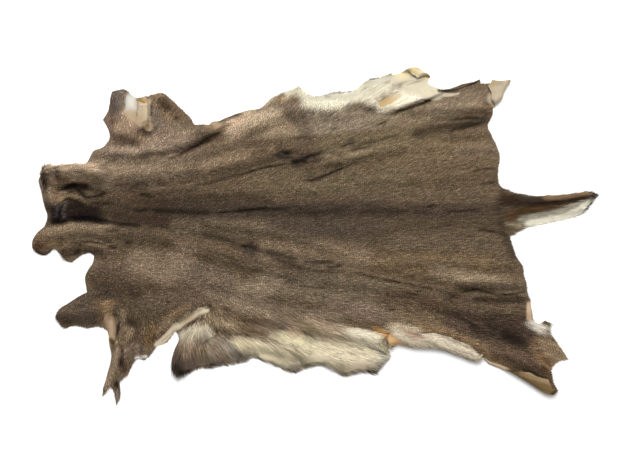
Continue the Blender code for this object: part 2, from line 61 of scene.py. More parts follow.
class Rim(NamedTuple):
    """A place on the rim. flap: how far the turned edge lies back. lock: how far hair stands out."""

    x: float
    y: float
    sharp: bool = False
    flap: float = 0.0
    lock: float = 0.0


class Band(NamedTuple):
    """A soft band along a line, bowed to its left. value says how much of something it has."""

    x0: float
    y0: float
    x1: float
    y1: float
    width: float
    value: float = 1.0
    bow: float = 0.0


class Step(NamedTuple):
    """A line where one part of the skin overlaps the next: its left side is raised."""

    x0: float
    y0: float
    x1: float
    y1: float
    width: float
    rise: float
    bow: float
    back: float


class Trace(NamedTuple):
    """A soft stroke along a line of places: of a crease, of bare skin or of a colour.

    value: a crease's depth and the strength of its painted shade, below 0 for a ridge's painted light, or
    else the share of what it lays down.
    """

    width: float
    value: float
    way: np.ndarray
    colour: str = ""


class Ripple(NamedTuple):
    """One soft noise: its strength, its waves to the metre along and across the back, and its layer."""

    strength: float
    lengthwise: float
    across: float
    layer: float


MM = 0.001
# The numbers of each kind that aren't millimetres.
BARE_NUMBERS = ("sharp",)


def rows(kind: type, table: Sequence[tuple], unit: float = MM) -> tuple:
    """Reads a table written in millimetres.

    Args:
        kind: what its rows are.
        table: the rows, in the order of the kind's fields.
        unit: what a Band's value is counted in.

    Returns:
        The rows in metres.
    """
    units = [1.0 if name in BARE_NUMBERS else unit if name == "value" else MM for name in kind._fields]
    return tuple(kind(*(v * u for v, u in zip(row, units))) for row in table)


def traces(table: Sequence[tuple]) -> tuple:
    """Reads a table of strokes written in millimetres.

    Args:
        table: rows of width, value, a colour if the stroke has one, and x and y by pairs.

    Returns:
        The strokes, with their sizes in metres.
    """
    made = []
    for width, value, *rest in table:
        colour = rest.pop(0) if isinstance(rest[0], str) else ""
        made.append(Trace(width * MM, value, np.reshape(rest, (-1, 2)) * MM, colour))
    return tuple(made)


# The rim, clockwise seen from above.
UPPER_SHOULDER = rows(Rim, (
    (-653, 149, 1), (-641, 198), (-614, 214), (-600, 254),
))
UPPER_FORELEG = rows(Rim, (
    (-630, 309, 1), (-619, 347), (-619, 411, 1), (-585, 421), (-566, 410), (-536, 386), (-511, 383, 1),
))
UPPER_BRISKET = rows(Rim, (
    (-502, 399, 1), (-471, 405), (-454, 393), (-411, 351), (-366, 304), (-348, 277), (-314, 273),
    (-301, 296), (-284, 298), (-269, 309, 1),
))
UPPER_BELLY = rows(Rim, (
    (-250, 324), (-205, 342), (-167, 350), (-139, 387, 0, 0, 6), (-94, 413, 0, 0, 10),
    (-58, 432, 0, 0, 10), (-32, 409, 0, 0, 10), (1, 396, 0, 0, 10), (49, 407, 0, 0, 10),
    (100, 413, 0, 0, 12), (117, 428, 0, 0, 12), (149, 458, 0, 0, 12), (182, 465, 0, 0, 12),
    (213, 481, 0, 0, 10), (252, 483, 0, 0, 4),
))
UPPER_HIND = rows(Rim, (
    (263, 484), (303, 497, 0, 18), (327, 484, 0, 20), (354, 467, 1), (348, 452, 1), (350, 437),
    (382, 420, 1), (396, 416, 0, 6), (429, 426, 0, 7), (449, 435, 0, 7), (487, 447, 0, 5),
    (508, 462, 1), (507, 444, 1), (530, 443), (560, 454), (598, 449, 1),
))
UPPER_RUMP = rows(Rim, (
    (584, 429, 0, 40), (570, 404, 0, 42), (559, 378, 0, 24), (532, 354, 1), (529, 332), (520, 311),
    (510, 294, 1), (508, 277), (514, 257), (527, 212), (529, 176), (518, 136), (515, 94), (524, 79, 1),
))
TAIL = rows(Rim, (
    (547, 69, 0, 0, 6), (596, 58, 0, 0, 8), (646, 60, 0, 0, 10), (706, 67, 0, 0, 10),
    (747, 70, 0, 0, 8), (780, 54, 1), (755, 25, 0, 0, 8), (706, -16, 0, 0, 10), (630, -36, 0, 0, 10),
    (566, -51, 0, 0, 10), (534, -65, 0, 0, 6), (522, -68, 1),
))
LOWER_RUMP = rows(Rim, (
    (528, -110), (532, -129), (544, -158), (543, -200), (550, -261), (549, -293),
))
LOWER_HIND = rows(Rim, (
    (558, -305, 0, 0, 6), (577, -294, 0, 0, 8), (588, -303, 0, 0, 8), (584, -327, 0, 0, 6),
    (595, -357), (611, -381), (617, -397, 1), (594, -402), (578, -414), (572, -430), (573, -454),
    (579, -470, 1), (566, -483, 1, 24), (546, -481, 0, 25), (504, -452, 0, 15), (455, -421, 0, 5),
    (421, -406, 0, 3),
))
LOWER_FLANK = rows(Rim, (
    (409, -389, 1), (394, -401, 0, 12), (378, -400, 0, 20), (310, -375, 0, 23), (245, -369, 0, 30),
    (206, -362, 0, 28), (179, -370, 1),
))
LOWER_BELLY = rows(Rim, (
    (183, -392), (165, -411), (134, -436, 0, 0, 8), (109, -429, 0, 0, 8), (80, -436, 0, 0, 8),
    (53, -438, 0, 0, 8), (22, -415, 0, 0, 6), (-5, -413, 0, 0, 8), (-60, -427, 0, 0, 8),
    (-94, -420, 0, 0, 8), (-152, -395, 0, 0, 8), (-176, -403, 0, 0, 8), (-255, -416, 0, 0, 8),
    (-281, -418, 0, 0, 6), (-308, -431, 0, 0, 6), (-327, -439, 0, 0, 4), (-339, -433), (-349, -405),
    (-345, -375), (-336, -345), (-348, -329, 1),
))
LOWER_BRISKET = rows(Rim, (
    (-367, -356), (-388, -365), (-400, -381), (-415, -399), (-433, -396), (-443, -409), (-453, -435),
    (-469, -450, 1), (-462, -481), (-470, -506, 1), (-480, -476), (-489, -463, 1), (-508, -489, 1),
    (-499, -425), (-498, -390), (-510, -358), (-519, -327),
))
LOWER_FORELEG = rows(Rim, (
    (-542, -315), (-566, -319), (-602, -313), (-626, -320), (-646, -302), (-652, -289), (-640, -266),
    (-611, -241), (-587, -227, 1),
))
LOWER_NECK = rows(Rim, (
    (-591, -212), (-598, -190), (-595, -171), (-586, -148), (-585, -126, 1), (-600, -116),
    (-618, -123), (-640, -144, 1), (-658, -139), (-675, -121), (-694, -104, 1),
))
NAPE = rows(Rim, (
    (-709, -120), (-726, -122), (-747, -110), (-753, -88), (-745, -58), (-733, -37), (-732, -8),
    (-744, 19), (-761, 62), (-777, 100), (-772, 115), (-761, 129), (-736, 135), (-724, 143),
    (-709, 139), (-694, 142), (-674, 147), (-662, 146),
))
OUTLINE = (
    UPPER_SHOULDER + UPPER_FORELEG + UPPER_BRISKET + UPPER_BELLY + UPPER_HIND + UPPER_RUMP
    + TAIL + LOWER_RUMP + LOWER_HIND + LOWER_FLANK + LOWER_BELLY + LOWER_BRISKET
    + LOWER_FORELEG + LOWER_NECK + NAPE
)

# Folds that lift the skin off the floor, each a soft ridge.
NECK_FOLDS = rows(Band, (
    (-740, 116, -622, 118, 28, 34, 8), (-744, 112, -728, 30, 18, 16, -6),
    (-728, -84, -600, -56, 30, 21, 6), (-600, 102, -440, 116, 26, 12, 10),
    (-612, -104, -560, -112, 13, 9, 4), (-666, -130, -662, -108, 14, 11),
    (-560, -60, -400, -75, 24, 7, 6), (-585, -170, -480, -190, 30, 6, 12),
))
SHOULDER_FOLDS = rows(Band, (
    (-598, 388, -580, 262, 26, 13, 6), (-505, 268, -488, 264, 12, 11, 6),
    (-446, 378, -330, 272, 28, 22, 6), (-600, 190, -470, 176, 24, 8, 10),
    (-640, -284, -530, -272, 26, 12, -6), (-488, -312, -502, -466, 12, 11, 6),
    (-462, -440, -468, -486, 10, 6), (-452, -400, -440, -345, 20, 8, -6),
    (-300, -268, -398, -334, 14, 10, -8),
))
BACK_FOLDS = rows(Band, (
    (-400, 126, -130, 184, 24, 8, -6), (-340, 186, -140, 236, 24, 7, 10), (-420, 40, 60, 78, 22, 5, 6),
    (-300, -28, 60, -112, 22, 7, 10), (-380, -86, -60, -172, 24, 8, -10),
    (20, -192, 330, -246, 22, 7, 6), (-280, -195, 60, -255, 28, 6, -10),
    (40, 168, 240, 214, 20, 8, -10), (-40, 130, 60, 158, 13, 6, 6), (120, 100, 500, 128, 26, 5, -8),
    (140, -48, 500, -66, 26, 5, 6), (160, -150, 500, -158, 20, 6, 8),
    (370, -204, 536, -204, 16, 13, 6), (300, -262, 530, -280, 20, 8, -6),
    (290, 334, 510, 342, 20, 10, 8), (290, 262, 500, 260, 22, 7, -8), (230, 196, 510, 200, 22, 5, 6),
    (330, -338, 540, -412, 22, 9, -10), (592, -372, 566, -318, 18, 9, 6),
))
BELLY_FOLDS = rows(Band, (
    (-170, 284, 10, 334, 34, 9, 10), (-110, 352, -40, 392, 22, 8, 6), (50, 330, 220, 396, 32, 8, -12),
    (-328, -420, -296, -330, 26, 18, 8), (-250, -384, -120, -356, 24, 13, 10),
    (-236, -316, -180, -330, 16, 6), (-90, -366, -10, -394, 20, 10, 6),
    (30, -404, 150, -404, 24, 12, -10), (-20, -330, 170, -352, 20, 8, 10),
))
FOLDS = NECK_FOLDS + SHOULDER_FOLDS + BACK_FOLDS + BELLY_FOLDS

# Where one part of the skin overlaps the next: the left side of the line is raised.
STEPS = rows(Step, (
    (-478, 186, -262, 284, 12, 16, -22, 46), (-492, 272, -508, 392, 8, 17, -4, 36),
    (226, 330, 374, 396, 9, 13, -4, 44), (-700, 78, -610, 70, 12, 8, 4, 30),
    (-180, -336, -276, -360, 10, 7, -12, 30),
))

# Creases in the coat alone.
CREASES = rows(Band, (
    (-705, 70, -612, 72, 12, 6, 6), (-620, 50, -580, 66, 7, 4), (-700, -30, -455, -34, 16, 3, 6),
    (-620, -82, -560, -96, 6, 5, 6), (-575, 226, -510, 236, 15, 4, 10),
    (-530, 64, -435, 78, 10, 4, -4), (-435, 78, -140, 150, 10, 4, -8), (-100, 186, -10, 170, 10, 6, 6),
    (45, 212, 95, 224, 7, 4), (-25, 104, 65, 134, 7, 5, -6), (90, 222, 225, 268, 8, 4, 4),
    (350, 302, 505, 300, 9, 6, 4), (-400, -48, -175, -106, 10, 4, 6),
    (-175, -106, 50, -158, 10, 5, -4), (50, -158, 320, -212, 9, 4, 4), (400, -228, 538, -232, 7, 5, 4),
    (350, -298, 530, -350, 16, 3, 6), (-478, -308, -445, -316, 18, 5),
    (-499, -312, -512, -372, 6, 3, 2), (-210, -290, -80, -318, 10, 4, -12),
    (-280, -282, -342, -322, 7, 3, -4), (236, 438, 310, 452, 6, 4, 4), (110, -366, 172, -388, 6, 3, 2),
))

# Fine creases and ridges of the coat's own surface. Each lowers or raises the bare skin a little and tilts
# the hair's shading. Each also colours the coat: painted shade in a crease, and painted light on a ridge
# (value below 0).
BACK_MARKS = traces((
    (4, .6, -401,184, -363,208, -336,229, -311,249, -278,270),
    (8.7, .25, -374,201, -335,222, -302,246),
    (3.3, .75, -214,125, -186,131, -152,144, -118,151, -67,158),
    (7.1, .35, -364,73, -310,92, -255,112, -194,128),
    (2.9, .5, -73,154, -41,148, -21,134, -4,118),
    (3.5, .95, -38,105, -7,105, 27,118, 58,134, 87,148),
    (2.6, .4, 81,144, 104,158, 122,164),
    (5.7, .85, -117,194, -102,184, -85,194, -65,188),
    (4.4, .6, -108,174, -85,181, -70,178),
    (4.7, .5, -102,201, -73,194),
    (9.9, 1, -70,161, -47,168, -22,178),
    (3.7, .8, -36,174, -4,188, 22,198),
    (2.3, .4, -36,158, 7,171, 85,188),
    (3, .7, 36,198, 62,191, 91,188),
    (3.7, .8, 74,215, 94,225, 121,232),
    (2.7, .45, 94,201, 123,208, 164,215),
    (2.7, .45, 110,171, 151,184, 189,198),
    (3.8, .8, 182,291, 197,299, 212,306),
    (2.7, .3, 211,229, 234,232, 255,235),
    (4.9, .3, -80,242, -45,249, -7,239),
    (8, .35, -91,327, -58,335, -28,320),
    (4.2, .25, -37,306, -10,302, 13,291),
    (10, .35, -194,181, -166,198, -129,211),
    (8.3, .25, -211,242, -180,260, -145,267),
    (8.6, .55, -460,11, -380,5, -278,1),
    (2.5, .85, -278,1, -229,5, -180,11, -131,17),
    (6.8, .5, -229,8, -147,14, -70,11),
    (11, .2, -84,5, 12,1, 95,14),
    (2.2, .5, 4,1, 4,-23),
    (2.5, .35, -32,54, 7,60),
    (8.6, .2, 100,5, 232,5, 341,1),
    (3.1, .6, 352,5, 402,8, 458,14),
    (3.1, .7, 301,17, 318,23, 332,26),
    (3, .35, 293,-47, 337,-41, 381,-35),
    (4.7, .5, 434,-50, 476,-53, 520,-70),
    (2.9, .45, -428,-32, -387,-53, -348,-67),
    (2.4, .35, -349,-62, -311,-62, -276,-56),
    (5.2, .5, -311,-65, -251,-76, -201,-94),
    (4.6, .75, -207,-94, -174,-102, -139,-114),
    (6.8, .6, -142,-114, -94,-125, -41,-145),
    (4.5, .55, -115,-131, -67,-148, -25,-162),
    (5.1, .5, -41,-142, 7,-145, 49,-142),
    (2.5, .95, 28,-154, 49,-157, 70,-151),
    (2.8, .35, -297,-105, -239,-125, -183,-148),
    (2.8, .25, -238,-142, -171,-162, -106,-179, -45,-201),
    (2.2, .3, -50,-206, 6,-214, 37,-212),
    (2.2, .55, 106,-170, 137,-182, 178,-190),
    (2.5, .9, 173,-190, 198,-195, 227,-201),
    (2.4, .5, 227,-201, 270,-209, 313,-220),
    (2.1, .7, 230,-222, 248,-231, 266,-233),
    (1.9, .5, 256,-225, 282,-220),
    (3.2, .7, 313,-220, 340,-233, 362,-244),
    (2.4, .6, 321,-239, 343,-249, 356,-255),
    (4.2, .55, 346,-225, 365,-236),
    (3, .85, 366,-228, 406,-220, 436,-225, 474,-231),
    (2.7, .75, 469,-231, 505,-231, 544,-225),
    (9, .4, 395,-244, 459,-247, 541,-244),
    (2.4, .6, 179,-273, 209,-273),
    (2.1, .35, 227,-278, 265,-278),
    (2.1, .5, 451,-286, 479,-286, 507,-283),
    (2.1, .3, 88,-247, 109,-241),
    (1.9, .35, 181,-231, 206,-239),
    (4.1, .4, 355,-286, 383,-304, 412,-320),
    (15, .45, 378,-309, 447,-332, 526,-355),
    (6, .25, 459,-335, 495,-350, 522,-362),
    (2.9, .9, 399,309, 429,313, 465,317, 515,313),
    (5.6, .55, 389,270, 438,284, 511,302),
    (11, .35, 277,263, 367,281, 505,306),
    (5.5, .35, 100,211, 173,235, 248,260),
    (5.5, .3, 277,260, 317,246),
    (3.9, .55, 438,131, 473,141, 519,144),
    (5.1, .4, 456,89, 513,99),
    (10, -.35, -335,151, -269,181, -190,215, -138,235),
    (5.1, -.3, -430,83, -381,99, -321,118),
    (5.1, -.2, -389,73, -307,86),
    (6.2, -.3, -250,-94, -173,-123, -125,-140),
    (6.9, -.3, -143,-88, -68,-105, 7,-120),
    (6.8, -.3, 38,-114, 118,-131, 216,-159),
    (7.1, -.5, 341,-173, 411,-193, 477,-203, 532,-217),
    (9.5, -.25, 346,184, 432,208, 514,232),
    (12, -.25, 249,281, 372,338, 512,382),
    (3.1, -.35, 367,-289, 394,-299, 420,-312),
    (2.9, -.35, -73,151, -38,138, -21,118),
    (5.3, -.3, -44,144, -1,151, 41,161),
    (4.1, -.3, 425,-76, 468,-73, 510,-82),
    (5.3, -.2, -40,-247, -9,-241, 11,-255),
    (6, -.25, -225,-225, -138,-209, -104,-236),
    (5.2, -.25, -229,-247, -192,-260, -161,-278),
))
NECK_MARKS = traces((
    (3.5, 1, -711,73, -701,80, -691,87, -677,88, -661,80),
    (2.5, .5, -702,70, -686,75, -669,73),
    (4.1, .95, -667,80, -657,70, -646,57, -630,42),
    (8.3, .6, -651,83, -634,83),
    (6.1, .5, -731,92, -722,57),
    (2.8, .8, -690,67, -668,70),
    (4.5, -.5, -751,138, -748,105, -736,73),
    (4.2, .6, -767,144, -759,118, -761,86),
    (4.3, .6, -714,134, -696,118, -699,102),
    (4.6, -.5, -696,144, -681,125, -677,105),
    (3.7, .5, -670,144, -658,125, -657,102),
    (5.4, 1, -743,154, -736,131, -724,102),
    (3.7, .95, -631,51, -610,54, -594,60, -579,70),
    (3.1, .5, -617,32, -587,32, -551,32),
    (5, .7, -491,60, -468,57, -448,48),
    (4.3, .8, -702,42, -680,45, -650,32, -621,20),
    (3.1, -.4, -693,54, -665,54, -640,39),
    (2.7, -.45, -695,35, -685,11, -685,-17),
    (2.8, -.35, -710,26, -713,-2),
    (2.5, .8, -703,20, -696,-20),
    (3.8, .8, -718,11, -715,-20),
    (7.2, .95, -716,-26, -694,-29, -673,-23),
    (9.1, .7, -669,-17, -621,-14, -576,-23),
    (3.9, .6, -602,-11, -565,-23, -517,-32, -471,-35),
    (3, -.25, -631,17, -600,-5, -571,-17),
    (4.3, .6, -504,11, -476,8, -455,17),
    (4.5, .4, -723,-73, -715,-73),
    (2.9, .9, -627,-88, -603,-85, -581,-88, -561,-97),
    (2.6, .7, -559,-94, -542,-100, -528,-105),
    (7.5, -.5, -617,-100, -594,-94, -571,-105),
    (7.3, .95, -638,-128, -635,-117, -620,-114),
    (3.2, -.45, -644,-142, -649,-111),
    (4.3, .5, -676,-111, -659,-131),
    (5.7, .5, -749,-102, -730,-120, -709,-117, -696,-102),
    (3, .6, -555,-53, -533,-50),
    (5.8, .5, -512,-88, -490,-88),
    (4.1, .5, -471,-91, -463,-91),
    (5.4, .4, -594,-111, -580,-131),
    (9.6, .35, -519,83, -492,92, -464,86),
    (3.9, .3, -627,144, -596,161, -561,181),
    (7.1, -.25, -646,138, -616,128, -593,125),
    (9.8, -.3, -710,144, -670,144, -639,131),
))
FORELEG_MARKS = traces((
    (1.8, .6, -541,394, -534,364, -533,338),
    (2.1, .5, -533,338, -531,317),
    (3.1, .6, -534,386, -523,375, -510,368),
    (3.7, -.5, -530,360, -501,364),
    (2.4, 1, -495,368, -492,342, -492,317),
    (2.3, .3, -544,306, -527,288, -511,277),
    (3.4, .6, -512,284, -501,270, -488,263, -480,270),
    (2.5, .35, -510,295, -499,306, -487,299),
    (1.8, .5, -501,291, -491,288, -496,281),
    (7.7, .4, -478,277, -464,281),
    (17, .3, -569,232, -546,239, -522,232),
    (13, .3, -477,394, -453,368, -435,338),
    (3.5, .6, -423,313, -406,320),
    (3.4, .5, -403,178, -423,178),
    (2.7, .95, -492,-296, -494,-320, -495,-345, -498,-362),
    (2.1, .6, -523,-291, -512,-286, -499,-286),
    (4, .8, -507,-350, -500,-362),
    (8.9, .4, -469,-304, -450,-314),
    (9, .2, -481,-304, -467,-302),
    (3.4, .8, -478,-382, -474,-375),
    (4.9, .6, -479,-389, -471,-414),
    (3.4, .9, -478,-449, -478,-464),
    (2.2, .6, -429,-360, -426,-380),
    (1.9, .6, -430,-392, -415,-394),
    (1.7, .5, -387,-360, -367,-342, -349,-320),
    (1.5, .4, -393,-350, -375,-332, -360,-312),
    (3.1, .9, -539,-225, -533,-228),
    (2.4, .6, -565,-236, -545,-236),
    (6.4, .35, -481,-231, -450,-233),
    (2.6, .8, -379,-252, -371,-252),
    (2.6, .5, -610,-260, -589,-262),
    (2.4, -.3, -488,-375, -493,-423, -500,-459),
    (2.6, -.3, -521,-241, -508,-257),
    (3.1, .6, -565,-312, -551,-307),
))
RIM_MARKS = traces((
    (2.5, .25, 194,368, 219,382, 238,405, 258,424),
    (3, .35, 274,435, 305,447, 337,458),
    (2.9, .8, 308,364, 337,379, 368,394),
    (5, .5, 235,338, 271,349, 308,364),
    (2.4, -.6, 380,420, 377,390),
    (7.3, .5, 151,346, 175,346),
    (4.3, .4, -16,338, 1,346),
    (3.1, .5, 37,320, 52,335),
    (3.1, .4, 49,277, 66,284),
    (3, .4, 26,394, 50,394),
    (2.8, .9, -343,-330, -327,-316, -308,-303, -291,-291),
    (3.6, .7, -292,-289, -276,-289),
    (2.6, .6, -280,-270, -263,-262),
    (2, .5, -273,-299, -254,-314),
    (3.8, .7, -269,-350, -255,-340, -238,-332),
    (7.5, .5, -276,-360, -267,-345),
    (2.5, .35, -238,-332, -208,-335),
    (2.3, .5, -203,-294, -165,-302, -134,-312),
    (2.5, .6, -96,-327, -79,-320, -62,-307),
    (2.2, .5, -206,-362, -190,-380),
    (2.2, .5, -73,-355, -48,-367, -26,-377, -9,-385),
    (2.5, .35, -80,-365, -63,-380, -53,-394),
    (2.2, .4, -131,-399, -99,-409, -72,-409),
    (2.2, .2, 105,-350, 135,-357, 159,-372),
    (2.9, .9, 149,-370, 166,-382, 178,-389),
    (4.5, .35, 73,-360, 110,-365, 139,-370),
    (4.3, .9, 122,-426, 134,-428),
    (2, .3, 16,-370, 48,-382, 72,-389),
    (1.9, .35, 70,-399, 69,-423),
    (7.8, .4, -237,-268, -211,-278),
    (2.5, -.35, -63,-362, -26,-382, 11,-399),
    (2.5, -.35, 23,-372, 55,-385, 85,-387),
    (2.4, .4, -48,-394, -30,-409),
    (1.8, .3, 174,-325, 200,-345, 233,-362),
    (2, .3, 211,-332, 247,-350, 271,-355),
    (2.5, .45, 269,-350, 293,-362),
    (2.2, .7, 307,-372, 344,-389, 386,-406),
    (2.2, .3, 343,-375, 374,-382, 395,-394),
    (3, .9, 570,-317, 579,-304),
    (2.2, .6, 573,-325, 573,-340),
    (4, .7, 577,-347, 587,-347),
    (2.2, .5, 540,-345, 561,-394, 572,-419),
    (3.6, .5, 496,-421, 531,-433, 560,-447),
    (1.9, .5, 460,-421, 495,-430),
))
FINE = BACK_MARKS + NECK_MARKS + FORELEG_MARKS + RIM_MARKS

# Where the coat is deeper than on the back, or shallower where value is below 0.
DEEPER = rows(Band, (
    (-764, 126, -752, 70, 15, 8, 3), (-716, 134, -664, 128, 14, 7, 4), (-742, 152, -724, 96, 7, -7, 2),
    (-690, 140, -684, 100, 5, -4), (560, 2, 745, 46, 28, 13, -6), (-100, 395, 230, 445, 40, 4),
    (-320, -400, 160, -405, 45, 5), (-600, 400, -590, 290, 50, -4), (-520, 370, -500, 300, 30, -3),
    (-640, -284, -560, -280, 40, -3), (-490, -480, -475, -380, 35, -4), (600, -390, 530, -440, 45, -4),
    (580, 430, 540, 400, 40, -4), (320, 470, 400, 420, 40, -3),
))

# How long the hair is, where it isn't as long as on the back.
GROWTH = rows(Band, (
    (-220, -270, 20, -310, 45, 19), (-325, -340, -275, -335, 28, 26), (-745, 116, -620, 118, 45, 24),
    (-600, 400, -580, 290, 50, 9), (-460, 390, -440, 330, 40, 12), (-650, -285, -550, -270, 45, 10),
    (-485, -470, -470, -360, 35, 11), (-100, 395, -30, 400, 30, 26), (-10, 385, 120, 395, 26, 30),
    (120, 410, 260, 440, 50, 34), (-320, -400, -120, -390, 55, 34), (-120, -370, 170, -380, 55, 38),
    (560, 5, 760, 45, 45, 40), (552, -308, 585, -328, 24, 28), (600, -390, 550, -440, 40, 12),
    (560, 420, 500, 420, 40, 11),
))

# Which way the hair lies, where it isn't back and outwards: along the row, as strongly as value.
LAYS = rows(Band, (
    (-575, 270, -600, 410, 50, 3), (-500, 280, -450, 400, 45, 1.6), (-550, -270, -660, -300, 45, 3),
    (-460, -330, -485, -500, 45, 3), (-290, -290, -345, -440, 40, 2.6),
    (-240, -300, -200, -420, 50, 1.4), (-120, -300, 0, -430, 80, 1.2), (20, -330, 180, -400, 80, 1),
    (-130, 350, -90, 440, 50, 2.6), (-20, 360, 20, 430, 45, 2), (80, 380, 130, 460, 50, 2),
    (160, 410, 240, 480, 45, 1.2), (400, 370, 600, 450, 60, 1.4), (420, -350, 600, -430, 70, 1.4),
    (540, -300, 600, -330, 30, 2), (560, 10, 780, 60, 40, 3), (560, -20, 720, -10, 30, 1.5),
    (-700, 120, -610, 90, 30, 1.2),
), unit=1.0)

# Turned edges that have hair on them.
HAIRY_EDGES = rows(Band, (
    (190, -356, 410, -385, 40), (268, 484, 345, 470, 40),
), unit=1.0)

# Skin with no hair on it.
BARE = traces((
    (26, .95, -550,386, -546,357),
    (24, 1, -520,371, -513,317),
    (23, .9, -552,342, -534,320, -510,299),
    (15, 1, -497,288, -494,284),
    (10, .9, -297,295, -285,288),
    (13, 1, 200,368, 225,382, 250,401),
    (30, 1, 292,427, 331,420, 360,409),
    (23, 1, 254,466, 298,474, 341,466),
    (8.6, 1, 387,401, 408,403, 430,409),
    (6.5, .9, 182,-345, 199,-357),
    (11, .9, -521,-291, -509,-320, -501,-355),
    (6.3, 1, -305,-282, -290,-276, -275,-272),
    (7.7, 1, -342,-317, -323,-299, -305,-283),
    (25, 1, 543,386, 562,420, 584,443),
    (7.6, 1, 544,-260, 538,-294),
    (9.5, 1, -389,-360, -367,-337, -350,-312),
    # Bare where the brisket's painted highlight lies.
    (4.4, 1, -437,-394, -415,-392),
))
